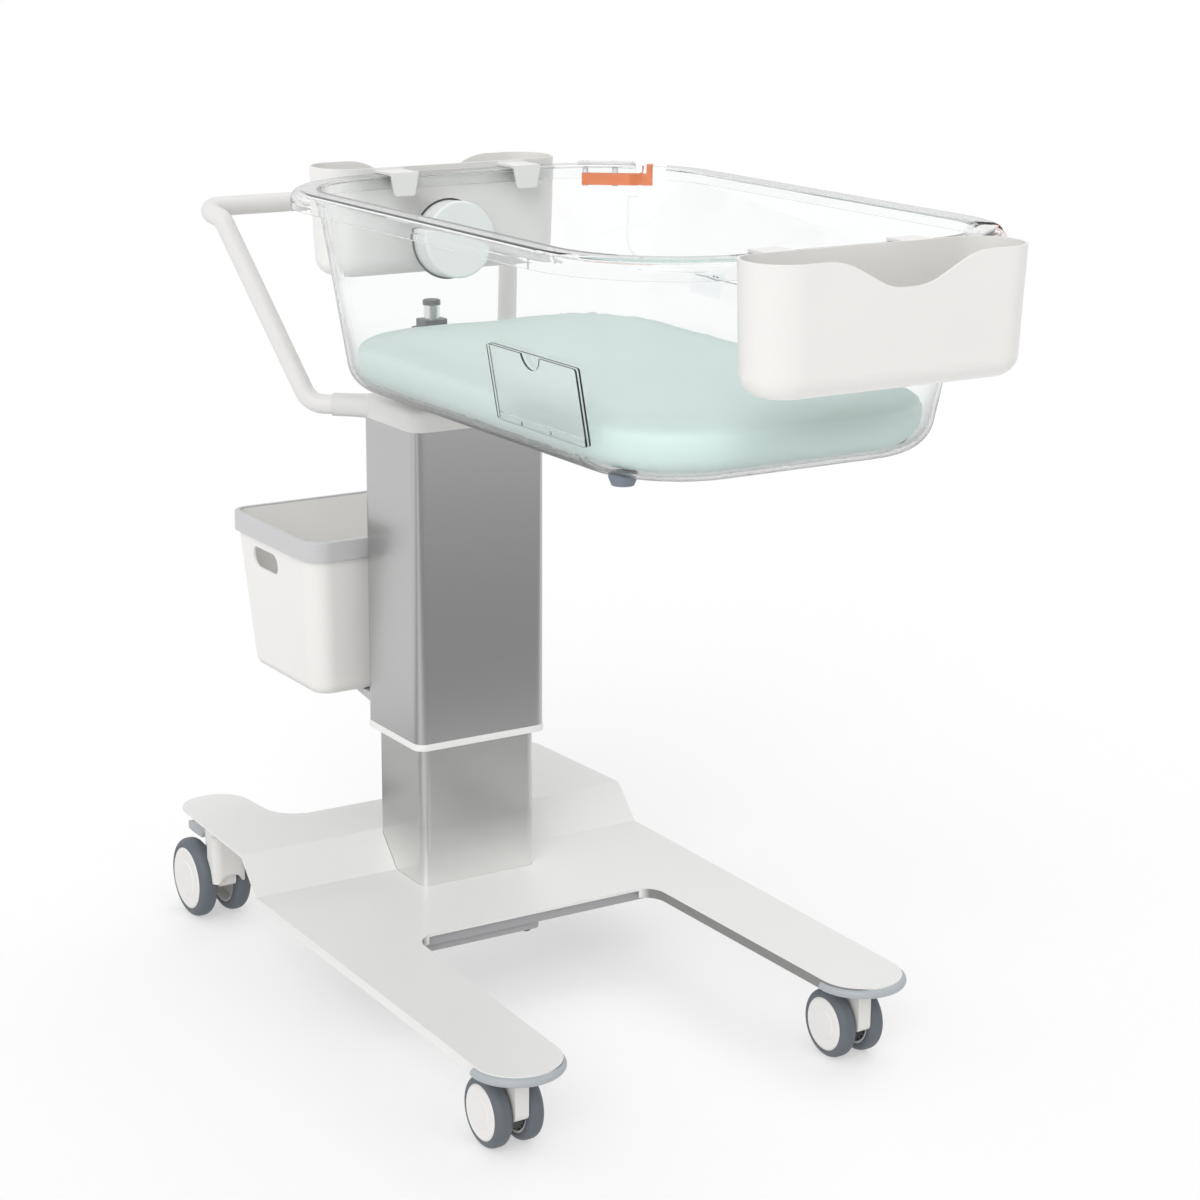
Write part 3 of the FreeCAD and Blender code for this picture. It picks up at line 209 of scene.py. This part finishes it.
class Shader:
    """A material's or world's node tree, with one method that makes any node."""

    def __init__(self, tree):
        self.tree = tree
        tree.nodes.clear()

    def node(self, kind, settings=None, inputs=None, output=0):
        made = self.tree.nodes.new(kind)
        for key, value in (settings or {}).items():
            setattr(made, key, value)
        for key, value in (inputs or {}).items():
            socket = made.inputs[key]
            if isinstance(value, Value):
                self.tree.links.new(value.socket, socket)
            else:
                socket.default_value = value
        return Value(self, made.outputs[output]) if made.outputs else None

    def place(self):
        return self.node("ShaderNodeTexCoord", output="Object")

    def normal(self):
        return self.node("ShaderNodeTexCoord", output="Normal")

    def noise(self, where, scale, detail):
        return self.node("ShaderNodeTexNoise", {}, {"Vector": where, "Scale": scale, "Detail": detail})

    def stretched(self, where, scale):
        return self.node("ShaderNodeMapping", {}, {"Vector": where, "Scale": scale})

    def tint(self, factor, first, second):
        """Colour between two colours or sockets."""
        first, second = (tone if isinstance(tone, Value) else (*tone, 1.0) for tone in (first, second))
        return self.node("ShaderNodeMix", {"data_type": "RGBA"}, {0: factor, 6: first, 7: second}, output=2)

    def bump(self, height, distance, strength):
        return self.node("ShaderNodeBump", {}, {"Height": height, "Distance": distance, "Strength": strength})

    def output(self, surface, kind="ShaderNodeOutputMaterial"):
        self.node(kind, {}, {"Surface": surface})

    def axis(self, vector, name):
        return self.node("ShaderNodeSeparateXYZ", {}, {0: vector}, output=name)

    def ray(self, kind):
        return self.node("ShaderNodeLightPath", output="Is " + kind + " Ray")

    def principled(self, inputs):
        return self.node("ShaderNodeBsdfPrincipled", {}, inputs)

    def mixed(self, factor, first, second):
        """Shader between two shaders."""
        return self.node("ShaderNodeMixShader", {}, {0: factor, 1: first, 2: second})

    def grey(self, level):
        """Grey of a level between 0 and 1."""
        return self.tint(level, (0.0, 0.0, 0.0), (1.0, 1.0, 1.0))


def new_shader(name):
    material = bpy.data.materials.new(name)
    material.use_nodes = True
    return material, Shader(material.node_tree)


def shade(colour, factor):
    return tuple(min(1.0, c * factor) for c in colour)


def powder_coat(name, colour, edge=None):
    """Satin coat with a faint orange peel; edge is the tone of the faces that look toward the middle plane."""
    material, shader = new_shader(name)
    place = shader.place()
    cloud = shader.noise(place, scale=6.0, detail=3.0)
    peel = shader.noise(place, scale=900.0, detail=1.0)
    tone = shader.tint(cloud, shade(colour, 0.985), shade(colour, 1.01))
    if edge:
        normal = shader.normal()
        inward = 0.0 - shader.axis(normal, "X") * shader.axis(place, "X")
        tone = shader.tint(inward.rise(0.05, 20.0), tone, edge)
    surface = shader.principled({
        "Base Color": tone,
        "Roughness": 0.36 + 0.08 * peel,
        "Normal": shader.bump(peel, distance=0.00004, strength=0.35),
        "Coat Weight": 0.15,
        "Coat Roughness": 0.25,
    })
    shader.output(surface)
    return material


def moulded(name, colour, roughness):
    """Moulded plastic with a fine grain."""
    material, shader = new_shader(name)
    place = shader.place()
    cloud = shader.noise(place, scale=9.0, detail=2.0)
    fine = shader.noise(place, scale=1500.0, detail=1.0)
    surface = shader.principled({
        "Base Color": shader.tint(cloud, shade(colour, 0.98), shade(colour, 1.015)),
        "Roughness": (roughness - 0.05) + 0.1 * fine,
        "Normal": shader.bump(fine, distance=0.00003, strength=0.4),
    })
    shader.output(surface)
    return material


def satin_metal(name, colour, roughness, foot=None):
    """Satin metal with fine drawn streaks along Z; foot gives the height below which it is paler, a painted
    reflection of the white base plate.
    """
    material, shader = new_shader(name)
    place = shader.place()
    drawn = shader.stretched(place, (3.0, 3.0, 0.12))
    streaks = shader.noise(drawn, scale=260.0, detail=2.0)
    cloud = shader.noise(place, scale=3.0, detail=2.0)
    tone = shader.tint(cloud, shade(colour, 0.97), shade(colour, 1.03))
    if foot:
        # painted reflection: below foot the tone turns paler, as if the white base plate were mirrored there
        low = shader.axis(place, "Z").rise(foot, -14.0)
        tone = shader.tint(low, tone, shade(colour, 1.65))
    surface = shader.principled({
        "Base Color": tone,
        "Metallic": 1.0,
        "Roughness": (roughness - 0.02) + 0.04 * streaks,
        "Normal": shader.bump(streaks, distance=0.000004, strength=0.2),
    })
    shader.output(surface)
    return material


def rubber(name, colour, roughness=0.55):
    """Matt rubber with a slightly dusty tone."""
    material, shader = new_shader(name)
    place = shader.place()
    dust = shader.noise(place, scale=40.0, detail=3.0)
    fine = shader.noise(place, scale=2200.0, detail=1.0)
    surface = shader.principled({
        "Base Color": shader.tint(dust, shade(colour, 0.93), shade(colour, 1.08)),
        "Roughness": (roughness - 0.06) + 0.12 * fine,
        "Normal": shader.bump(fine, distance=0.00005, strength=0.4),
    })
    shader.output(surface)
    return material


def clear_plastic(name, colour, faint=0.0, cut_above=None):
    """Clear plastic with a grey painted shade where it is seen edge on, for the dark lines of refraction and inner
    reflection; lamp rays pass, so what lies inside is lit.

    A faint one is nearly unseen. cut_above gives the ends, and the tops over that height, a near black painted shade
    on the cut edge.
    """
    material, shader = new_shader(name)
    place = shader.place()
    haze = shader.noise(place, scale=5.0, detail=2.0)
    surface = shader.principled({
        "Base Color": shader.tint(haze, shade(colour, 0.998), colour),
        "Roughness": 0.012 * haze,
        "IOR": CLEAR_IOR,
        "Transmission Weight": 1.0,
    })
    # painted shade: a grey mixed in where the plastic is seen edge on, wider below TUB_FOOT, standing for the dark
    # lines of refraction and inner reflection
    grazing = shader.node("ShaderNodeLayerWeight", {}, {"Blend": 0.5}, output="Facing")
    low = shader.axis(place, "Z").rise(TUB_FOOT, -12.0)
    painted_edge_on_shade = shader.principled({"Base Color": (*EDGE_ON_PAINTED_SHADE, 1.0), "Roughness": 0.35})
    surface = shader.mixed(0.95 * grazing ** (8.0 - 5.0 * low), surface, painted_edge_on_shade)
    if cut_above:
        # painted shade: the card holder's ends and high tops are painted near black, for the dark look that inner
        # reflection gives cut edges
        normal = shader.normal()
        ends = shader.axis(normal, "Y").size().rise(0.4, 5.0)
        high = shader.axis(place, "Z").rise(cut_above, 400.0)
        tops = shader.axis(normal, "Z").rise(0.2, 5.0) * high
        painted_cut_edge_shade = shader.principled({"Base Color": (*CUT_EDGE_PAINTED_SHADE, 1.0), "Roughness": 0.25})
        surface = shader.mixed((ends + tops).clamped(), surface, painted_cut_edge_shade)
    open_air = shader.node("ShaderNodeBsdfTransparent", {}, {"Color": (*colour, 1.0)})
    shader.output(shader.mixed((shader.ray("Shadow") + faint).clamped(), surface, open_air))
    return material


def coated_fabric(name, colour):
    """Wipe-clean cover cloth with a fine weave under its coating; its sides are painted lighter than its top,
    painted light.
    """
    material, shader = new_shader(name)
    place = shader.place()
    cloud = shader.noise(place, scale=7.0, detail=3.0)
    threads = {"Vector": place, "Scale": 420.0}
    warp, weft = (shader.node("ShaderNodeTexWave", {"bands_direction": along}, threads) for along in "XY")
    weave = warp * weft
    normal = shader.normal()
    # painted light: faces that turn from up toward the side are painted lighter, up to 1.22 times the colour
    side = shader.axis(normal, "Z").rise(0.9, -2.0)
    surface = shader.principled({
        "Base Color": shader.tint(0.25 * cloud + 0.75 * side, shade(colour, 0.97), shade(colour, 1.22)),
        "Roughness": 0.55 + 0.08 * weave,
        "Normal": shader.bump(weave, distance=0.00006, strength=0.35),
        "Sheen Weight": 0.15,
        "Sheen Roughness": 0.5,
    })
    shader.output(surface)
    return material


# each finish's recipe, material name, and colour or the property that holds it, then the recipe's other values
FINISHES = {
    "coat": (powder_coat, "warm_white_coat", "coat"),
    "plate_coat": (powder_coat, "base_plate_coat", "coat", (0.22, 0.22, 0.215)),
    # the head's coat is the warm white coat darkened: painted shade for the shadow that the tub casts on the head
    "head_coat": (powder_coat, "head_coat", (0.66, 0.655, 0.64)),
    "frame_coat": (powder_coat, "grey_frame_coat", (0.36, 0.36, 0.37)),
    "bracket_coat": (powder_coat, "light_grey_coat", (0.55, 0.55, 0.55)),
    "dark_steel": (powder_coat, "black_coat", (0.03, 0.03, 0.033)),
    "column_outer": (satin_metal, "column_satin", "column", 0.24),
    # the inner tube is paler below 0.175 m: painted reflection of the white base plate
    "column_inner": (satin_metal, "inner_tube_satin", (0.53, 0.53, 0.525), 0.26, 0.175),
    "steel": (satin_metal, "bright_steel", (0.75, 0.75, 0.76), 0.18),
    "box": (moulded, "box_plastic", "box", 0.3),
    "handle": (moulded, "handle_sleeve", "handle", 0.4),
    "bin": (moulded, "bin_plastic", "box", 0.42),
    "lip": (moulded, "bin_lip_plastic", "lip", 0.45),
    "trim": (moulded, "white_trim_plastic", (0.82, 0.82, 0.81), 0.35),
    "grey_plastic": (moulded, "grey_plastic", (0.33, 0.33, 0.34), 0.45),
    "dark_plastic": (moulded, "dark_plastic", (0.075, 0.078, 0.083), 0.45),
    "hood": (moulded, "hood_plastic", (0.74, 0.73, 0.71), 0.38),
    "hub": (moulded, "hub_plastic", (0.80, 0.785, 0.77), 0.34),
    "pedal": (moulded, "pedal_plastic", (0.46, 0.48, 0.50), 0.45),
    "disc": (moulded, "disc_plastic", (0.80, 0.82, 0.81), 0.3),
    "latch": (moulded, "orange_plastic", "latch", 0.32),
    "foot": (rubber, "tub_foot_rubber", "foot"),
    "tread": (rubber, "tyre_rubber", "tread"),
    "bumper": (rubber, "bumper_rubber", "bumper", 0.42),
    # near black ring behind the disc: painted shadow of the gap to the tub wall
    "gasket": (rubber, "gasket_rubber", (0.05, 0.052, 0.055)),
    "clear": (clear_plastic, "clear_plastic", CLEAR),
    "hinge_clear": (clear_plastic, "hinge_plastic", CLEAR, 0.97),
    "card_clear": (clear_plastic, "card_holder_plastic", CLEAR, 0.0, CARD_MIDDLE),
    "pad": (coated_fabric, "pad_cover", "pad"),
}
made_finishes = {}


def finish(name):
    """The named finish, made once."""
    if name not in made_finishes:
        recipe, material_name, colour, *values = FINISHES[name]
        if isinstance(colour, str):
            colour = tuple(getattr(bpy.context.scene.bassinet_colours, colour))
        made_finishes[name] = recipe(material_name, colour, *values)
    return made_finishes[name]


def dress(finish_name, *nodes):
    """Give CAD nodes a finish in place of their plain one."""
    for node in nodes:
        piece = frame["nodes"][node]
        if not piece.material_slots:
            piece.data.materials.append(finish(finish_name))
        for slot in piece.material_slots:
            slot.material = finish(finish_name)


# ---------------------------------------------------------------- mesh helpers
def soften(bm, edges, offset, segments):
    """Round the given edges."""
    bmesh.ops.bevel(
        bm, geom=edges, offset=offset, segments=segments, profile=0.5, affect="EDGES", material=-1,
        offset_type="OFFSET", clamp_overlap=True,
    )


def rounded_block(bm, low, high, corner, segments):
    """Box from low to high with its four upright edges rounded."""
    size = high - low
    matrix = Matrix.Translation((high + low) / 2) @ Matrix.Diagonal((*size, 1.0))
    bmesh.ops.create_cube(bm, size=1.0, matrix=matrix)
    upright = [e for e in bm.edges if abs(e.verts[0].co.z - e.verts[1].co.z) > size.z / 2]
    soften(bm, upright, corner, segments)


def level_edges(bm, z):
    """Edges that lie at one height."""
    return [e for e in bm.edges if all(abs(v.co.z - z) < 1e-6 for v in e.verts)]


def ring(bm, radius, thickness):
    """Closed round ring about Y, centred on the origin."""
    made = bmesh.ops.create_circle(bm, segments=12, radius=thickness)
    bmesh.ops.translate(bm, verts=made["verts"], vec=(radius, 0, 0))
    edges = list({edge for vert in made["verts"] for edge in vert.link_edges})
    bmesh.ops.spin(bm, geom=made["verts"] + edges, cent=(0, 0, 0), axis=(0, 1, 0), angle=math.tau, steps=96,
                   use_merge=True)


def finish_piece(name, bm, finish_name, body, replaced=()):
    """Turn a bmesh into a piece with its finish, riding on its body."""
    bmesh.ops.remove_doubles(bm, verts=bm.verts, dist=1e-6)
    bmesh.ops.recalc_face_normals(bm, faces=bm.faces)
    mesh = bpy.data.meshes.new(name)
    bm.to_mesh(mesh)
    bm.free()
    mesh.shade_smooth()
    mesh.set_sharp_from_angle(angle=math.radians(40))
    mesh.materials.append(finish(finish_name))
    piece = bpy.data.objects.new(name, mesh)
    bpy.context.scene.collection.objects.link(piece)
    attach(piece, body)
    if replaced:
        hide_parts(*replaced)
    return piece


# ---------------------------------------------------------------- pieces
class BASSINET_OT_base(bpy.types.Operator):
    """Finish the base and what is fixed to it"""

    bl_idname = "bassinet.base"
    bl_label = "Base"

    def execute(self, context):
        dress("plate_coat", "base_plate")
        dress("frame_coat", "base_frame", "control_box")
        dress("dark_plastic", "control_box_feet")
        dress("grey_plastic", "stem_sockets", "upper_glide")
        dress("bumper", "leg_bumpers")
        dress("steel", "lift_cylinder", "lift_rod")
        return {"FINISHED"}


class BASSINET_OT_casters(bpy.types.Operator):
    """Finish the casters"""

    bl_idname = "bassinet.casters"
    bl_label = "Casters"

    def execute(self, context):
        for corner in CORNERS:
            dress("tread", "tyres_" + corner)
            dress("hub", "hubs_" + corner)
            dress("hood", "caster_hood_" + corner)
            dress("pedal", "brake_pedal_" + corner)
            dress("dark_plastic", "lock_axle_" + corner)
        return {"FINISHED"}


class BASSINET_OT_column(bpy.types.Operator):
    """Finish the lifting column, head and handle"""

    bl_idname = "bassinet.column"
    bl_label = "Column and handle"

    def execute(self, context):
        dress("column_outer", "outer_tube")
        dress("column_inner", "inner_tube")
        dress("trim", "column_trim_ring")
        # the head's darker coat is painted shade from the tub above it
        dress("head_coat", "head_casting")
        dress("handle", "push_handle")
        dress("dark_plastic", "release_housing", "release_cap")
        dress("steel", "release_plunger", "tilt_pin")
        dress("dark_steel", "tilt_bracket")
        dress("coat", "cradle")
        return {"FINISHED"}


class BASSINET_OT_tub(bpy.types.Operator):
    """Finish the clear tub, its door, latches and fittings"""

    bl_idname = "bassinet.tub"
    bl_label = "Tub"

    def execute(self, context):
        dress("clear", "tub", "side_door")
        dress("hinge_clear", "hinge_leaves_tub", "hinge_leaves_door", "hinge_pins")
        dress("card_clear", "card_holder")
        dress("latch", "latch_rear", "latch_front")
        dress("trim", "latch_plates", "latch_pins")
        dress("disc", "disc_light")
        dress("foot", "tub_feet")
        return {"FINISHED"}


class BASSINET_OT_trims(bpy.types.Operator):
    """Fit a near black ring behind the disc, painted shadow of the gap between disc and tub wall, and the two
    buttons at the foot of the card holder
    """

    bl_idname = "bassinet.trims"
    bl_label = "Tub trims"

    def execute(self, context):
        low, high = (Vector(corner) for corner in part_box("disc_light"))
        radius = (high.x - low.x) / 2
        turn = Matrix.Rotation(-SHADOW_RING_LEAN, 3, "X")
        middle = Vector(((low.x + high.x) / 2, high.y, low.z)) + turn @ Vector((0, -SHADOW_RING_BEHIND, radius))
        middle.y -= 2 * radius * math.sin(SHADOW_RING_LEAN)
        # painted shadow: a thin near black ring standing for the shadow gap behind the disc
        bm = bmesh.new()
        ring(bm, radius + SHADOW_RING_OVERHANG, SHADOW_RING_THICKNESS)
        bmesh.ops.rotate(bm, cent=(0, 0, 0), verts=bm.verts, matrix=turn)
        bmesh.ops.translate(bm, verts=bm.verts, vec=middle)
        finish_piece("disc_gasket", bm, "gasket", "bassinet")
        outward = Matrix.Rotation(-math.tau / 4, 4, "Y")
        for number, place in enumerate(BUTTON_PLACES, 1):
            bm = bmesh.new()
            bmesh.ops.create_cone(
                bm, segments=24, radius1=BUTTON_RADII[0], radius2=BUTTON_RADII[1], depth=BUTTON_DEPTH, cap_ends=True,
                matrix=Matrix.Translation(place) @ outward,
            )
            finish_piece(f"card_button_{number}", bm, "clear", "bassinet")
        return {"FINISHED"}


class BASSINET_OT_pad(bpy.types.Operator):
    """Make the padded mattress"""

    bl_idname = "bassinet.pad"
    bl_label = "Mattress"

    def execute(self, context):
        sizes = context.scene.bassinet_sizes
        low, high = (Vector(corner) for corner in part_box("mattress"))
        inset = Vector((sizes.pad_inset,) * 3)
        low, high = low + inset, high - inset
        high.z -= sizes.pad_drop
        bm = bmesh.new()
        rounded_block(bm, low, high, sizes.pad_corner, segments=16)
        soften(bm, level_edges(bm, high.z), sizes.pad_top_round, segments=4)
        soften(bm, level_edges(bm, low.z), sizes.pad_foot_round, segments=6)
        middle = (low + high) / 2
        for vert in bm.verts:
            depth = (high.z - vert.co.z) / (high.z - low.z)
            vert.co.x = middle.x + (vert.co.x - middle.x) * (1 - PAD_LEAN[0] * depth)
            vert.co.y = middle.y + (vert.co.y - middle.y) * (1 - PAD_LEAN[1] * depth)
        pad = finish_piece("mattress_pad", bm, "pad", BODY_OF["mattress"], ("mattress",))
        puff(context, pad, sizes)
        return {"FINISHED"}


def puff(context, pad, sizes):
    """Swell the pad by air in its cover, no point further than the cap, and smooth it."""
    scene = context.scene
    remesh = pad.modifiers.new("even_mesh", "REMESH")
    remesh.mode = "VOXEL"
    remesh.voxel_size = sizes.pad_voxel
    graph = context.evaluated_depsgraph_get()
    even = bpy.data.meshes.new_from_object(pad.evaluated_get(graph))
    pad.modifiers.clear()
    rest = [vert.co.copy() for vert in even.vertices]
    trial = bpy.data.objects.new("pad_trial", even)
    scene.collection.objects.link(trial)
    cloth = trial.modifiers.new("air", "CLOTH")
    cloth.settings.use_pressure = True
    cloth.settings.uniform_pressure_force = PAD_PRESSURE
    cloth.settings.effector_weights.gravity = 0.0
    cloth.settings.quality = PAD_QUALITY
    cloth.settings.tension_stiffness = PAD_STIFFNESS
    cloth.settings.compression_stiffness = PAD_STIFFNESS
    cloth.settings.bending_stiffness = PAD_BENDING
    cloth.point_cache.frame_end = sizes.pad_frames
    for step in range(1, sizes.pad_frames + 1):
        scene.frame_set(step)
    puffed = trial.evaluated_get(context.evaluated_depsgraph_get())
    moved = [vert.co.copy() for vert in puffed.data.vertices]
    scene.frame_set(1)
    bpy.data.objects.remove(trial)
    for vert, start, end in zip(even.vertices, rest, moved):
        step = end - start
        if step.length > sizes.pad_cap:
            step = step.normalized() * sizes.pad_cap
        vert.co = start + step
    bm = bmesh.new()
    bm.from_mesh(even)
    for _ in range(PAD_SMOOTHING):
        bmesh.ops.smooth_vert(bm, verts=bm.verts, factor=0.5, use_axis_x=True, use_axis_y=True, use_axis_z=True)
    bm.to_mesh(even)
    bm.free()
    even.shade_smooth()
    even.materials.clear()
    even.materials.append(finish("pad"))
    pad.data = even
    smooth = pad.modifiers.new("smooth", "SUBSURF")
    smooth.levels = smooth.render_levels = 1


class BASSINET_OT_boxes(bpy.types.Operator):
    """Finish the storage boxes and the waste bin"""

    bl_idname = "bassinet.boxes"
    bl_label = "Boxes and bin"

    def execute(self, context):
        dress("box", "storage_box_front", "storage_box_rear")
        dress("bin", "waste_bin")
        dress("lip", "bin_rim_band")
        dress("bracket_coat", "bin_bracket")
        return {"FINISHED"}


# ---------------------------------------------------------------- studio
def soft_sun(name, coming_from, strength, spread):
    """Distant soft lamp that lights the floor evenly; spread is in degrees."""
    lamp = bpy.data.lights.new(name, "SUN")
    lamp.energy = strength
    lamp.angle = math.radians(spread)
    holder = bpy.data.objects.new(name, lamp)
    holder.rotation_euler = Vector(coming_from).to_track_quat("Z", "Y").to_euler()
    bpy.context.scene.collection.objects.link(holder)


def band(across, middle, width, depth):
    """Soft dark band over the mirrored floor."""
    return depth * ((across - middle) / width).bell()


def white_floor():
    """Wide white floor that keeps the shadow and goes to plain white round it."""
    bm = bmesh.new()
    lowered = Matrix.Translation((0, 0, -FLOOR_DROP))
    bmesh.ops.create_grid(bm, x_segments=1, y_segments=1, size=FLOOR_HALF, matrix=lowered)
    mesh = bpy.data.meshes.new("floor")
    bm.to_mesh(mesh)
    bm.free()
    floor = bpy.data.objects.new("floor", mesh)
    bpy.context.scene.collection.objects.link(floor)
    material, shader = new_shader("floor_white")
    plain = shader.node("ShaderNodeBsdfDiffuse", {}, {"Color": (FLOOR_TONE, FLOOR_TONE, FLOOR_TONE, 1.0)})
    glow = shader.node("ShaderNodeEmission", {}, {"Color": (1.0, 1.0, 1.0, 1.0), "Strength": FLOOR_GLOW})
    seen = (shader.ray("Camera") + shader.ray("Transmission")).clamped()
    lit = shader.mixed(GLOW_SHARE * seen, plain, glow)
    # polished faces see a white floor with darker bands in front of and beside the column
    place = shader.place()
    across = shader.axis(place, "Y") * ACROSS[1] + shader.axis(place, "X") * ACROSS[0]
    ahead = shader.axis(place, "Y").rise(0.0, -1.3)
    front = band(across, *FRONT_BANDS[0]) + band(across, *FRONT_BANDS[1])
    card = 1.0 - ahead * front - band(across, *SIDE_BAND)
    mirrored = shader.node("ShaderNodeEmission", {}, {"Color": shader.grey(card)})
    # a ray that went through rough clear plastic counts as glossy too, and sees the plain floor
    polished = shader.ray("Glossy") * (1.0 - shader.ray("Transmission"))
    shader.output(shader.mixed(polished, lit, mirrored))
    mesh.materials.append(material)


def white_world():
    """White backdrop, and a softer light that comes a little more from the left and the front."""
    world = bpy.data.worlds.new("studio")
    world.use_nodes = True
    bpy.context.scene.world = world
    shader = Shader(world.node_tree)
    direction = shader.node("ShaderNodeTexCoord", output="Generated")
    slope = WORLD_SLOPE[0] * shader.axis(direction, "X") + WORLD_SLOPE[1] * shader.axis(direction, "Y")
    light = shader.node("ShaderNodeBackground", {}, {"Color": shader.grey(WORLD_LEVEL + slope)})
    backdrop = shader.node("ShaderNodeBackground", {}, {"Color": (1.0, 1.0, 1.0, 1.0)})
    seen = (shader.ray("Camera") + shader.ray("Glossy") + shader.ray("Transmission")).clamped()
    shader.output(shader.mixed(seen, light, backdrop), "ShaderNodeOutputWorld")


class BASSINET_OT_studio(bpy.types.Operator):
    """Pale floor, soft lamps and the camera"""

    bl_idname = "bassinet.studio"
    bl_label = "Studio"

    def execute(self, context):
        scene = context.scene
        white_floor()
        white_world()
        soft_sun("key", coming_from=(-0.58, -0.58, 0.55), strength=0.85, spread=35)
        soft_sun("top", coming_from=(0.50, 0.15, 0.85), strength=0.55, spread=45)
        lens = bpy.data.cameras.new("camera")
        lens.lens = scene.bassinet_sizes.lens
        lens.sensor_width = SENSOR_WIDTH
        lens.clip_end = CLIP_END
        camera = bpy.data.objects.new("camera", lens)
        axes = Matrix((CAMERA_RIGHT, CAMERA_UP, CAMERA_BACK)).transposed().to_4x4()
        camera.matrix_world = Matrix.Translation(Vector(CAMERA_PLACE)) @ axes
        scene.collection.objects.link(camera)
        scene.camera = camera
        scene.view_settings.view_transform = "Standard"
        return {"FINISHED"}


class BASSINET_PT_panel(bpy.types.Panel):
    """Lists the steps and their values"""

    bl_label = "Bassinet"
    bl_space_type = "VIEW_3D"
    bl_region_type = "UI"
    bl_category = "Bassinet"

    def draw(self, context):
        for group in (context.scene.bassinet_sizes, context.scene.bassinet_colours):
            for name in group.bl_rna.properties.keys():
                if name not in ("rna_type", "name"):
                    self.layout.prop(group, name)
        for step in STEPS:
            self.layout.operator(step.bl_idname)


STEPS = (
    BASSINET_OT_base,
    BASSINET_OT_casters,
    BASSINET_OT_column,
    BASSINET_OT_tub,
    BASSINET_OT_trims,
    BASSINET_OT_pad,
    BASSINET_OT_boxes,
    BASSINET_OT_studio,
)
CLASSES = (BassinetColours, BassinetSizes, *STEPS, BASSINET_PT_panel)


def register():
    for one in CLASSES:
        bpy.utils.register_class(one)
    bpy.types.Scene.bassinet_colours = PointerProperty(type=BassinetColours)
    bpy.types.Scene.bassinet_sizes = PointerProperty(type=BassinetSizes)


def unregister():
    del bpy.types.Scene.bassinet_sizes
    del bpy.types.Scene.bassinet_colours
    for one in reversed(CLASSES):
        bpy.utils.unregister_class(one)


def main():
    register()
    for step in STEPS:
        group, name = step.bl_idname.split(".")
        getattr(getattr(bpy.ops, group), name)()


if __name__ == "__main__":
    main()
